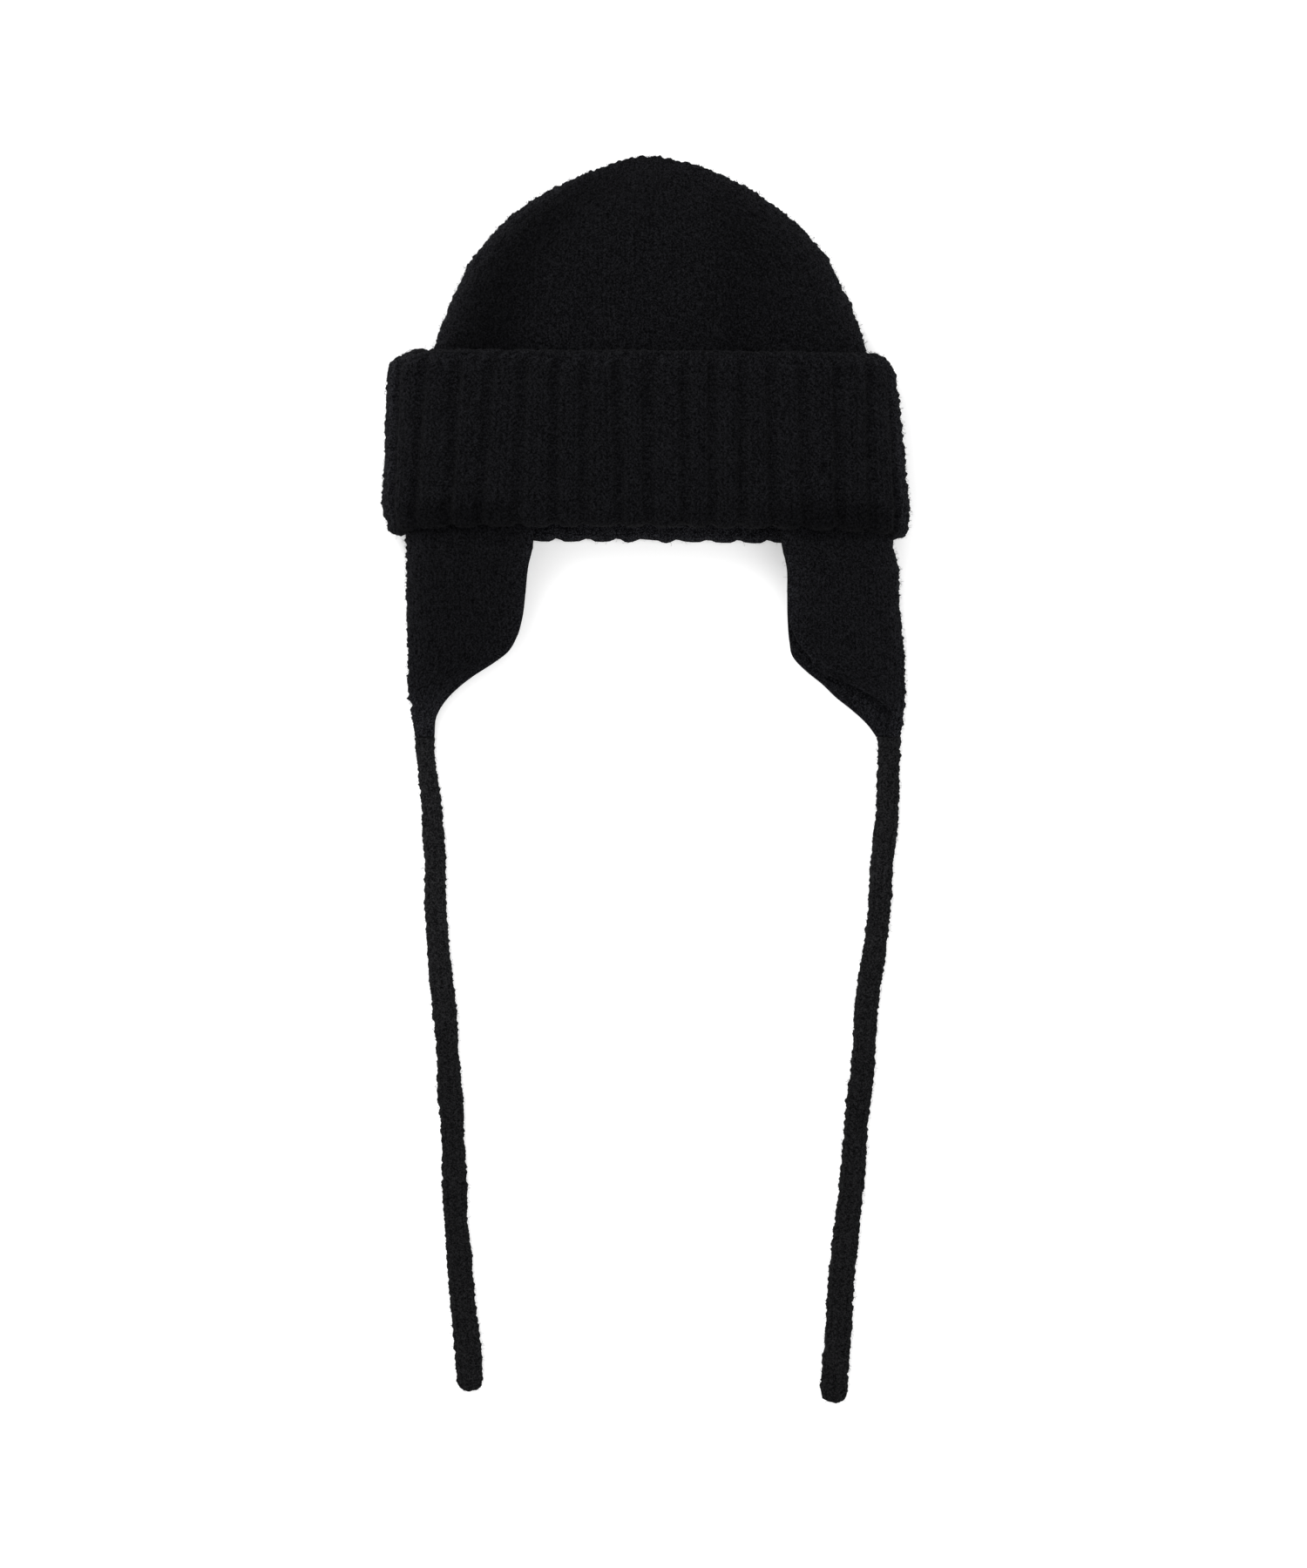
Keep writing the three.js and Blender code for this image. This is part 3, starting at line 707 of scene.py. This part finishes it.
def body_ring(y):
    """The inner leg. Its sizes are those of the outer side of the fold, a full fold further out."""
    risen = np.clip((y - CUFF_FOLD_Y) / (CUFF_JOIN_Y - CUFF_FOLD_Y), 0, 1)
    legs = RIB_KNIT + LEG_GAP
    return {
        "x": BODY_CENTRE_X * risen,
        "half": BODY_HALF_WIDTH - BODY_TAPER * (y - CUFF_FOLD_Y) + legs,
        "side": CUFF_SIDE_Z + 0 * y,
        "up": BODY_FRONT_Z - CUFF_SIDE_Z + legs + 0 * y,
        "down": CUFF_SIDE_Z + 0 * y,
    }


# The cuff

FINE_RIB = np.concatenate([
    np.linspace(-0.5, 0.5, 8, endpoint=False) * (1 - KNIT_SHARE),
    np.linspace(0, 1, 16, endpoint=False) * KNIT_SHARE + (1 - KNIT_SHARE) / 2,
])
PLAIN_RIB = np.array([-0.05, 0.12, 0.26, 0.5, 0.74, 0.88])
SIDE_RIBS = 2


def cuff_columns():
    """For each column: its rib, its place in the rib, and whether its stitches can be seen."""
    columns = []
    for rib in range(RIB_COUNT):
        fine = not RIB_COUNT // 2 + SIDE_RIBS <= rib < RIB_COUNT - SIDE_RIBS
        for place in FINE_RIB if fine else PLAIN_RIB:
            columns.append((rib, place, fine))
    return np.array(columns)


def rib_warp(stations, shares):
    """Shifts the columns' shares so that the front's valleys lie where the cap has them."""
    ring = as_columns(cuff_ring(stations))
    even = np.arange(RIB_COUNT // 2 + 1) / RIB_COUNT
    fine = np.linspace(0, 0.5, 721)
    angles, _ = girth_angles(ring, fine)
    x, _ = ring_point(ring, 0, angles)
    lowest, highest = VALLEY_HEIGHTS
    rise = np.clip((stations - lowest) / (highest - lowest), -0.2, 1.2)
    places = VALLEY_PLACES[:, 0] + rise[:, None] * (VALLEY_PLACES[:, 1] - VALLEY_PLACES[:, 0])
    first = (RIB_COUNT // 2 + 1 - len(VALLEY_PLACES)) // 2
    knots_from = [0, *even[first:first + len(VALLEY_PLACES)], 0.5, 1]
    warped = []
    for row, valleys in zip(x, places):
        wanted = np.interp(-valleys[::-1], -row, fine)
        warped.append(np.interp(shares, knots_from, [0, *wanted, 0.5, 1]))
    return np.array(warped)


def hung(x, y, z, station, slack, angle):
    """Points of a loop, lowered where the cuff hangs askew and its back's hem shows."""
    low = np.clip((CUFF_JOIN_Y - station) / (CUFF_JOIN_Y - CUFF_FOLD_Y), 0, 1)
    back = (1 - np.sin(angle)) / 2
    return points_at(x, y - slack * (CUFF_TILT * x + BACK_HEM_DROP * back * low), z)


def cuff_surface(down_leg, angle, groove):
    """Points of the cuff's outside. down_leg runs from the top edge down, round the fold and up
    the inner leg; below 0 it goes over the rounded top edge to the outer leg's inside."""
    edge = RIB_KNIT / 2
    leg = CUFF_TOP_Y - edge - CUFF_FOLD_Y
    arc = math.pi * FOLD_RADIUS
    over = np.clip(-down_leg / edge, 0, math.pi)
    turn = np.clip((down_leg - leg) / FOLD_RADIUS, 0, math.pi)
    inside = np.clip(down_leg - leg - arc, 0, None)
    reach = FOLD_RADIUS - groove * (1 - 0.5 * turn / math.pi)
    leg_y = CUFF_TOP_Y - edge - np.clip(down_leg, 0, leg) + edge * np.sin(over)
    roll = EDGE_ROLL * np.exp(-(((leg_y - CUFF_TOP_Y + 2.6) / 2.6) ** 2)) * np.cos(over * 0.5)
    depth = np.where(
        turn > 0,
        FOLD_RADIUS - reach * np.cos(turn),
        groove - roll + (edge - edge * np.cos(over)),
    )
    station = np.where(turn > 0, CUFF_FOLD_Y + inside, leg_y)
    outer, inner = cuff_ring(station), body_ring(station)
    share = turn / math.pi
    ring = {key: outer[key] * (1 - share) + inner[key] * share for key in outer}
    x, z = ring_point(ring, depth, angle)
    y = np.where(turn > 0, station - reach * np.sin(turn), station)
    return hung(x, y, z, station, 1 - inside / (CUFF_JOIN_Y - CUFF_FOLD_Y), angle)


def hidden_cuff_loop(ring_of, y, inset, slack, angle):
    """A plain loop of the cuff's surfaces that face each other between its two legs."""
    x, z = ring_point(ring_of(np.full_like(angle, y)), inset, angle)
    return hung(x, y, z, y, slack, angle)


def make_cuff():
    columns = cuff_columns()
    shares = ((columns[:, 0] + columns[:, 1]) / RIB_COUNT) % 1.0
    order = np.argsort(shares)
    shares, columns = shares[order], columns[order]
    place = columns[:, 1]
    in_knit = (place - (1 - KNIT_SHARE) / 2) / KNIT_SHARE
    is_knit = (in_knit >= 0) & (in_knit <= 1)
    fine = columns[:, 2] > 0
    wale = columns[:, 0] * 3 + np.clip(in_knit, 0, 1) * 2
    slant = np.where(is_knit, leg_rise(wale), LEG_RISE) * COURSE * fine
    from_valley = np.minimum(np.abs(place), 1 - place)
    raised = 1 - np.exp(-((from_valley / RIB_VALLEY_WIDTH) ** 2))

    edge = RIB_KNIT / 2
    leg = CUFF_TOP_Y - edge - CUFF_FOLD_Y
    arc = math.pi * FOLD_RADIUS
    shown_end = leg + arc + STITCHES_INSIDE_FOLD
    over_edge = -math.pi * edge * np.linspace(1, 1 / 6, 6)
    stitched = np.arange(0, shown_end, COURSE / 3)
    inner_leg = np.linspace(shown_end + 2.5, leg + arc + CUFF_JOIN_Y - CUFF_FOLD_Y, 19)
    rows = np.concatenate([over_edge, stitched, inner_leg])
    fade = smooth_step(rows, -5, 3) * (1 - smooth_step(rows, leg + arc - 3, shown_end))
    unseen = smooth_step(rows, leg + arc, shown_end)
    down_leg = rows[:, None] + fade[:, None] * (0.5 * LEG_RISE * COURSE - slant[None, :])
    ribs_start = smooth_step(rows, 1.0, 13.0)[:, None]
    stations = np.where(rows < leg, CUFF_TOP_Y - edge - np.clip(rows, 0, leg), CUFF_FOLD_Y)
    angles, _ = girth_angles(cuff_ring(stations), rib_warp(stations, shares))
    facing_up = smooth_step(np.abs(np.sin(angles)), 0.1, 0.6)
    groove = RIB_DEPTH * ribs_start * (1 - raised[None, :]) * (0.75 + 0.25 * facing_up)
    points = [cuff_surface(down_leg, angles, groove)]

    shares = rib_warp(np.array([2.0]), shares)[0]
    body_loops = np.array([(CUFF_JOIN_Y, 0), (-8.0, 0.51), (CUFF_FOLD_Y, 1.0)])
    body_angles, _ = girth_angles(body_ring(body_loops[:, 0]), shares)
    for (y, slack), angle in zip(body_loops, body_angles):
        points.append(hidden_cuff_loop(body_ring, y, RIB_KNIT + LEG_GAP, slack, angle)[None])
    heights = np.linspace(CUFF_FOLD_Y, CUFF_TOP_Y - edge - 1, 11)
    leg_angles, _ = girth_angles(cuff_ring(heights), shares)
    points.append(hidden_cuff_loop(cuff_ring, -35.3, FOLD_RADIUS, 1, leg_angles[0])[None])
    for y, angle in zip(heights, leg_angles):
        points.append(hidden_cuff_loop(cuff_ring, y, RIB_KNIT, 1, angle)[None])
    points = np.concatenate(points)

    count, wide = points.shape[:2]
    course = np.zeros(count)
    course[:len(rows)] = rows / COURSE
    strength = np.zeros(count)
    strength[:len(rows)] = smooth_step(rows, -4, 4) * (1 - unseen)
    shown = np.zeros(count)
    shown[:len(rows)] = 1 - 0.8 * unseen
    shown = shown[:, None] * np.ones((1, wide))
    above_floor = smooth_step(points[..., 2], 0.3, 3.0)
    strength = strength[:, None] * above_floor
    # Painted light and shade: painted highlights along the rolled edge and round the sides, painted
    # light in the side valleys and on the back's hem inside the mouth, which lie in shade, and
    # painted shade above the fold
    tone_and_painted_light = np.ones((count, wide))
    ring = as_columns(cuff_ring(stations))
    x = points[:len(rows), :, 0]
    from_side = ring["half"] - np.abs(x - ring["x"])
    side = rim(from_side)
    side_valley_painted_light = np.exp(-(((from_side - 2.9) / 1.6) ** 2))
    front = smooth_step(np.sin(angles), -0.4, 0.4)
    # Painted shade above the fold, stronger over the flaps
    over_flaps = 0.15 + 0.37 * smooth_step(np.abs(x), 50, 75)
    by_fold = smooth_step(rows, leg - 13, leg - 2)[:, None] * over_flaps
    hem_painted_light = smooth_step(rows, leg + arc * 0.4, leg + arc * 0.6)[:, None]
    by_edge = 1 - smooth_step(rows, 2, 8)[:, None]
    tone_and_painted_light[:len(rows)] = (
        CUFF_TONE_AND_PAINTED_LIGHT["plain"]
        + CUFF_TONE_AND_PAINTED_LIGHT["edge"] * by_edge
        - by_fold * front
        + CUFF_TONE_AND_PAINTED_LIGHT["side"] * side
        + CUFF_TONE_AND_PAINTED_LIGHT["side_valley_painted_light"] * side_valley_painted_light
        + CUFF_TONE_AND_PAINTED_LIGHT["hem_painted_light"] * hem_painted_light * (1 - front)
    )
    shown[:len(rows)] += 2 * side + by_edge
    fields = {
        "tone_and_painted_light": tone_and_painted_light,
        "wale": np.broadcast_to(wale, (count, wide)),
        "course": np.broadcast_to(course[:, None], (count, wide)),
        "knit": strength * (is_knit & fine),
        "purl": strength * ~(is_knit & fine),
        "shown": shown * above_floor,
    }
    return cloth("ribbed_cuff", points, grid_quads(count, wide, rows_meet=True), [], fields)


# The crown


def crown_sections(steps):
    """The crown's sections at even steps along its outline, from the join to its top."""
    y, half, side, back, front = CROWN_ROWS.T
    table = np.column_stack([y, half, side, front - side, side - back])
    top = np.array([[CROWN_TOP["y"], 0, CROWN_TOP["z"], 0, 0]])
    beyond = table[-1] * np.array([1, -1, 1, -1, -1])
    table = np.vstack([table, top, beyond[None]])
    chord = lengths_along(table[:, 0], table[:, 1])
    shown_from = np.interp(38.0, table[:-2, 0], chord[:-2])
    top_at = chord[-2]
    at = np.concatenate([
        np.linspace(0, shown_from, 5, endpoint=False),
        np.linspace(shown_from, top_at, steps)[:-1],
    ])
    columns = [along_table(chord, column, at) for column in table.T]
    ring = dict(zip(("y", "half", "side", "up", "down"), columns))
    ring["x"] = np.full_like(at, BODY_CENTRE_X)
    ring["up"], ring["down"] = np.maximum(ring["up"], 0.2), np.maximum(ring["down"], 0.2)
    return ring, at


def make_crown():
    ring, along = crown_sections(CROWN_LOOPS)
    shares = np.sort(np.concatenate([
        np.linspace(-0.03, 0.53, CROWN_SHOWN_COLUMNS, endpoint=False),
        np.linspace(0.53, 0.97, CROWN_FLOOR_COLUMNS, endpoint=False),
    ]) % 1.0)
    angles, girths = girth_angles(ring, shares)
    column = as_columns(ring)
    x, _ = ring_point(column, 0, angles)
    y = np.broadcast_to(column["y"], x.shape)

    left = x - BODY_CENTRE_X + VALLEY["left_share"] * column["half"]
    right = x - VALLEY["right_x"]
    front = np.maximum(0, np.sin(angles))
    starts = np.clip((y - CUFF_JOIN_Y) / 30, 0, 1) * np.clip((CROWN_TOP["y"] - y) / 20, 0, 1)
    near = np.minimum(np.abs(left), np.abs(right))
    sunk = front * starts * VALLEY["depth"] * np.exp(-((near / VALLEY["spread"]) ** 2))
    x, z = ring_point(column, sunk, angles)
    outer = points_at(x, y, z)

    # Wales stand upright in the middle panel and follow the outline in the panels beside it
    share = np.where(shares > 0.97, shares - 1, shares)[None, :]
    girth = girths[:, None]
    middle = (left > 0) & (right < 0)
    beside = np.where(left <= 0, girth * (0.5 - share), girth * share)
    front_across = np.where(middle, girth * (share - 0.25), beside)
    across = np.where(share > 0.5, girth * (share - 0.75), front_across)
    wale = across / CROWN_WALE + 400
    course = along[:, None] / COURSE - leg_rise(wale)
    above_floor = smooth_step(z, 0.3, 3.0)
    visible = smooth_step(y, 38, 44)
    at_top = 1 - 0.75 * smooth_step(y, 133, CROWN_TOP["y"])

    # Painted shade: the wool is painted darker in the two valleys and outside them than in the
    # middle panel; a painted rim highlight runs along the sides, stronger on the left
    painted_shade_left = smooth_step(-left, -26, 10) * (1 - 0.55 * smooth_step(-left, 30, 66))
    painted_shade_right = smooth_step(right, -10, 5) * (1 - 0.75 * smooth_step(right, 14, 38))
    lean = np.hypot(1, np.gradient(ring["half"], ring["y"]))[:, None]
    side = rim((column["half"] - np.abs(x - BODY_CENTRE_X)) / lean)
    painted_shade = np.maximum(CROWN_TONE_AND_PAINTED_LIGHT["left_valley_painted_shade"] * painted_shade_left, CROWN_TONE_AND_PAINTED_LIGHT["right_valley_painted_shade"] * painted_shade_right)
    tone_and_painted_light = CROWN_TONE_AND_PAINTED_LIGHT["plain"] - painted_shade * front**0.5
    tone_and_painted_light = tone_and_painted_light + np.where(x < BODY_CENTRE_X, CROWN_TONE_AND_PAINTED_LIGHT["left"], CROWN_TONE_AND_PAINTED_LIGHT["right"]) * side

    rows, wide = x.shape
    slope_along = np.gradient(outer, axis=0)
    slope_across = np.roll(outer, -1, axis=1) - np.roll(outer, 1, axis=1)
    facing = np.cross(slope_across, slope_along)
    facing /= np.maximum(np.linalg.norm(facing, axis=-1, keepdims=True), 1e-9)
    centre = points_at(BODY_CENTRE_X, ring["y"] - 8, ring["side"])
    outwards = np.sign(np.einsum("rci,rci->rc", facing, outer - centre[:, None, :]))
    facing *= outwards[..., None]
    picked = np.unique(np.linspace(0, rows - 6, 14).astype(int))[::-1]
    thin = np.minimum(1, (ring["up"][picked] + ring["down"][picked]) / 12)[:, None, None]
    inner = outer[picked] - facing[picked] * CROWN_KNIT * thin

    points = np.concatenate([
        [[BODY_CENTRE_X, CROWN_TOP["y"], CROWN_TOP["z"]]],
        outer[::-1].reshape(-1, 3),
        inner[::-1].reshape(-1, 3),
        [[BODY_CENTRE_X, CROWN_TOP["y"] - CROWN_KNIT * 1.3, CROWN_TOP["z"]]],
    ])
    quads, triangles = pointed_tube(rows + len(picked), wide, True)

    def field(values, inside=0.0):
        values = np.broadcast_to(values, (rows, wide))[::-1]
        within = np.full(len(picked) * wide + 1, inside)
        return np.concatenate([[values[0, 0]], values.ravel(), within])

    fields = {
        "tone_and_painted_light": field(tone_and_painted_light, 1.0),
        "wale": field(wale),
        "course": field(course + 60),
        "knit": field(0.65 * above_floor * visible * at_top),
        "purl": field(0.0),
        "shown": field(above_floor * visible * (1 + 2 * side)),
    }
    return cloth("knitted_crown", points, quads, triangles, fields)


# The ear flaps


def fold_rise(distance, reach, power):
    left = 1 - np.clip(distance / reach, 0, 1)
    return (1 - left**power) ** (1 / power)


def flap_side(row, side, depth, front_shares, back_shares):
    """A flap's section from the front layer's free edge round the folded edge to the back's."""
    height = row["front"] - row["back"]
    level = row["back"] + np.maximum(FLAP_SIDE_SHARE * height, FLAP_KNIT + FLAP_LAYER_GAP)
    outer = row["outer"] - depth
    reach = np.maximum(row["fold"] - depth, FLAP_KNIT)
    up, down = row["front"] - level - depth, level - row["back"] - depth
    front_distance = (outer - row["front_edge"]) * front_shares
    back_distance = (outer - row["back_edge"]) * back_shares
    front_z = level + up * fold_rise(front_distance, reach, FRONT_POWER)
    back_z = level - down * np.minimum(1, BACK_SETTLE * fold_rise(back_distance, reach, BACK_POWER))
    distance = np.concatenate([front_distance, back_distance], axis=1)
    z = np.concatenate([front_z, back_z], axis=1)
    return side * (outer - distance), z


def make_flap(name, side, table, lightness, by_tie):
    table = table[::-1]
    y = np.linspace(table[0, 0], table[-1, 0], FLAP_LOOPS)
    y[0] -= TIE_GAP
    keys = ("outer", "front_edge", "back_edge", "back", "front", "fold")
    row = {
        key: along_table(table[:, 0], table[:, i + 1], y)[:, None] for i, key in enumerate(keys)
    }
    row["back"] = np.maximum(row["back"], 0)
    front_shares = np.linspace(1, 0, FLAP_COLUMNS["front"])[None, :] ** 1.15
    back_shares = np.linspace(0, 1, FLAP_COLUMNS["back"])[None, 1:] ** 1.3
    inner_front = np.linspace(1, 0, FLAP_COLUMNS["inner_front"])[None, :] ** 1.3
    inner_back = np.linspace(0, 1, FLAP_COLUMNS["inner_back"])[None, 1:]
    x, z = flap_side(row, side, 0.0, front_shares, back_shares)
    inside_x, inside_z = flap_side(row, side, FLAP_KNIT, inner_front, inner_back)
    outer = points_at(x, y[:, None], z)
    inner = points_at(inside_x, y[:, None], inside_z)[:, ::-1]

    def rounded_edge(start, end):
        """Two points that round the cut edge between a layer's outside and its inside."""
        bulge = np.array([-side, -0.6, 0.0]) * FLAP_KNIT * 0.1
        shares = np.array([0.72, 0.28])[None, :, None]
        return start[:, None] * shares + end[:, None] * (1 - shares) + bulge

    back_edge = rounded_edge(outer[:, -1], inner[:, 0])
    front_edge = rounded_edge(inner[:, -1], outer[:, 0])
    loops = np.concatenate([outer, back_edge, inner, front_edge], axis=1)
    count, wide = loops.shape[:2]

    girth = lengths_along(x, z)
    fold_at = girth[:, [front_shares.size - 1]]
    wale = (girth - fold_at) / FLAP_WALE + 60.5
    course = -y[:, None] / COURSE + leg_rise(wale)
    front_edge_near = smooth_step(np.abs(girth), 0.6, 3.4)
    above_floor = smooth_step(z, 0.3, 2.6)
    ends = smooth_step(y, -139.9, -134)[:, None]

    # The layer below is seen from its inside too
    inside_girth = lengths_along(inside_x, inside_z)[:, 1:]
    inside_wale = (inside_girth - inside_girth[:, [inner_front.size - 1]]) / FLAP_WALE + 60.5
    inside_course = -y[:, None] / COURSE + leg_rise(inside_wale)
    inside_span = slice(x.shape[1] + 2, x.shape[1] + 2 + inner_back.size)

    def field(values, inside=0.0, edges=0.0):
        whole = np.full((count, wide), edges)
        whole[:, :x.shape[1]] = values
        below = np.broadcast_to(inside, (count, inside_x.shape[1] - 1))
        whole[:, inside_span] = below[:, ::-1][:, :inner_back.size]
        return whole

    # Painted light: painted highlights on the front layer's free edge, the folded side and the cut
    # edge, painted light on the layer below, which lies in shade, and lighter towards the tie
    low_layer_painted_light = smooth_step(girth - fold_at, 0, 8)
    side_edge = rim(row["outer"] - np.abs(x))
    cut_edge = rim(np.abs(x) - np.minimum(row["front_edge"], row["back_edge"]))
    free_edge_highlight = FLAP_PAINTED_LIGHT["free_edge_highlight"] * (1 - front_edge_near)
    tone_and_painted_light = lightness * (1 + free_edge_highlight + FLAP_PAINTED_LIGHT["low_layer_painted_light"] * low_layer_painted_light)
    tone_and_painted_light = tone_and_painted_light + FLAP_PAINTED_LIGHT["side"] * side_edge + FLAP_PAINTED_LIGHT["cut_edge"] * lightness * cut_edge
    tone_and_painted_light = tone_and_painted_light + by_tie * (1 - smooth_step(y, -132, -108))[:, None]
    fields = {
        # The inside of the layer below gets painted light against its shade, and the cut edges'
        # strips a painted highlight
        "tone_and_painted_light": field(tone_and_painted_light, lightness * FLAP_INSIDE_PAINTED_LIGHT, lightness * FLAP_CUT_PAINTED_HIGHLIGHT),
        "wale": field(wale, inside_wale),
        "course": field(course, inside_course),
        "knit": field(above_floor * (0.35 + 0.65 * front_edge_near) * (0.3 + 0.7 * ends), 0.7),
        "purl": field(0.0),
        "shown": field(above_floor * (1 + 2 * side_edge + cut_edge) * (0.3 + 0.7 * ends)),
    }
    return cloth_with_ends(name, loops, fields)


def cloth_with_ends(name, loops, fields):
    """A tube of cloth whose first and last loops are closed by strips between its two sides."""
    count, wide = loops.shape[:2]
    triangles = []
    for first, opens in ((0, True), ((count - 1) * wide, False)):
        low, high = 0, wide - 1
        while high - low > 1:
            a, b = first + low, first + high
            if (low + wide - high) % 2:
                c, low = first + low + 1, low + 1
            else:
                c, high = first + high - 1, high - 1
            triangles.append((a, c, b) if opens else (a, b, c))
    return cloth(name, loops, grid_quads(count, wide), triangles, fields)


# The ties


def make_tie(name, route, widths, by_flap):
    """A flat knitted cord along its route; gives the piece and the middles of its rings."""
    steps = lengths_along(*route.T)
    length = steps[-1]
    rows = int(length / TIE_RING_STEP)
    at = np.linspace(0, length, rows)
    middle = np.stack([along_table(steps, places, at) for places in route.T], axis=1)
    ahead = np.gradient(middle, axis=0)
    ahead /= np.linalg.norm(ahead, axis=1, keepdims=True)
    beside = np.stack([-ahead[:, 1], ahead[:, 0]], axis=1)
    widths_at = TIE_FIRST_WIDTH_AT + TIE_STEP * np.arange(len(widths))
    wide = np.interp(at, [0, *widths_at], [widths[0] + TIE_WIDER_AT_FLAP, *widths])
    # The free end is rounded over its last few millimetres
    left = np.clip((length - at) / TIE_END_ROUNDING, 0, 1)
    closing = np.sqrt(np.clip(1 - (1 - left) ** 2, 0.02, 1))
    angle = np.linspace(0, 2 * math.pi, TIE_COLUMNS, endpoint=False)[None, :]
    power = 2 / TIE_SECTION_POWER
    flat = np.sign(np.cos(angle)) * np.abs(np.cos(angle)) ** power
    high = np.sign(np.sin(angle)) * np.abs(np.sin(angle)) ** power
    half = ((wide / 2 - TIE_RELIEF_BESIDE) * closing)[:, None]
    tall = (TIE_THICKNESS / 2 - TIE_RELIEF_ABOVE) * (0.35 + 0.65 * closing)[:, None]
    x = middle[:, [0]] + beside[:, [0]] * flat * half
    y = middle[:, [1]] + beside[:, [1]] * flat * half
    z = TIE_THICKNESS / 2 + high * tall
    points = np.concatenate([
        [[*(middle[0] - ahead[0] * 0.2), TIE_THICKNESS / 2]],
        points_at(x, y, z).reshape(-1, 3),
        [[*(middle[-1] + ahead[-1] * 0.3), TIE_THICKNESS / 2]],
    ])
    quads, triangles = pointed_tube(rows, TIE_COLUMNS, False)
    wale = np.broadcast_to(angle / (2 * math.pi) * TIE_WALES, x.shape)
    course = at[:, None] / COURSE + leg_rise(wale)
    above_floor = smooth_step(z, 0.2, 1.6)

    def field(values):
        return np.concatenate([[0.0], np.broadcast_to(values, x.shape).ravel(), [0.0]])

    fields = {
        "tone_and_painted_light": field(1 + by_flap * (1 - smooth_step(at, 80, 185))[:, None]),
        "wale": field(wale),
        "course": field(course),
        "knit": field(above_floor),
        "purl": field(0.0),
        "shown": field(above_floor),
    }
    piece = cloth(name, points, quads, triangles, fields)
    line = np.concatenate([middle, np.full((rows, 1), TIE_THICKNESS / 2)], axis=1) * MM
    return piece, line.tolist(), length * MM


left_tie, left_tie_line, left_tie_length = make_tie(
    "left_tie_cord", LEFT_TIE_ROUTE, LEFT_TIE_WIDTHS, 0.38
)
right_tie, right_tie_line, right_tie_length = make_tie(
    "right_tie_cord", RIGHT_TIE_ROUTE, RIGHT_TIE_WIDTHS, 0.2
)
knit(left_tie, TIE_WOOL, 0.55, 1.2, 4.6, 11)
knit(right_tie, TIE_WOOL, 0.55, 1.2, 4.6, 12)
cuff = make_cuff()
knit(cuff, CAP_WOOL, 0.65, 0.8, 2.2, 21)
crown = make_crown()
knit(crown, CAP_WOOL, 0.5, 1.3, 2.6, 31)
left_flap = make_flap("left_earflap", -1, LEFT_FLAP_ROWS, 1.12, 1.0)
knit(left_flap, CAP_WOOL, 0.65, 0.8, 2.4, 41)
right_flap = make_flap("right_earflap", 1, RIGHT_FLAP_ROWS, 1.36, 0.45)
knit(right_flap, CAP_WOOL, 0.6, 0.8, 2.4, 42)

# Each piece with its node and finish, and its fibres' name, number a square metre, length and seed
PIECES = (
    (crown, "crown", "crown_knit", "crown_fuzz", 65000, 3.6, 51),
    (cuff, "cuff", "rib_knit", "cuff_fuzz", 55000, 3.2, 52),
    (left_flap, "flap_left", "flap_knit", "left_earflap_fuzz", 65000, 3.0, 53),
    (right_flap, "flap_right", "flap_knit", "right_earflap_fuzz", 65000, 3.0, 54),
    (left_tie, "tie_left", "tie_knit", "left_tie_fuzz", 130000, 2.8, 55),
    (right_tie, "tie_right", "tie_knit", "right_tie_fuzz", 130000, 2.8, 56),
)
fibres = {node: fuzz(piece, *values) for piece, node, _, *values in PIECES}


# The room and its light


def studio():
    """A white floor, a white room and two soft lights."""
    floor_mesh = bpy.data.meshes.new("studio_floor")
    corners = [
        (x * FLOOR_REACH, y * FLOOR_REACH, FLOOR_Z) for x, y in ((-1, -1), (1, -1), (1, 1), (-1, 1))
    ]
    floor_mesh.from_pydata(corners, [], [(0, 1, 2, 3)])
    floor_mesh.materials.append(plain_finish("studio_white", (0.93, 0.93, 0.93), 0.85, glow=0.28))
    floor = in_scene("studio_floor", floor_mesh)
    world = bpy.data.worlds.new("studio_room")
    world.use_nodes = True
    world.node_tree.nodes["Background"].inputs["Color"].default_value = (1, 1, 1, 1)
    bpy.context.scene.world = world
    for name, place, size, power in LIGHTS:
        light = in_scene(name, bpy.data.lights.new(name, "AREA"))
        light.data.size = size
        light.data.energy = power
        light.location = place
        aim = Vector(LIGHTS_AIM) - Vector(place)
        light.rotation_euler = aim.to_track_quat("-Z", "Y").to_euler()
    bpy.context.scene.view_settings.view_transform = "Standard"


studio()

# What each piece stands for

for piece, node, finish, *_ in PIECES:
    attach(piece, "root")
    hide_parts(node)
    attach(fibres[node], "root")
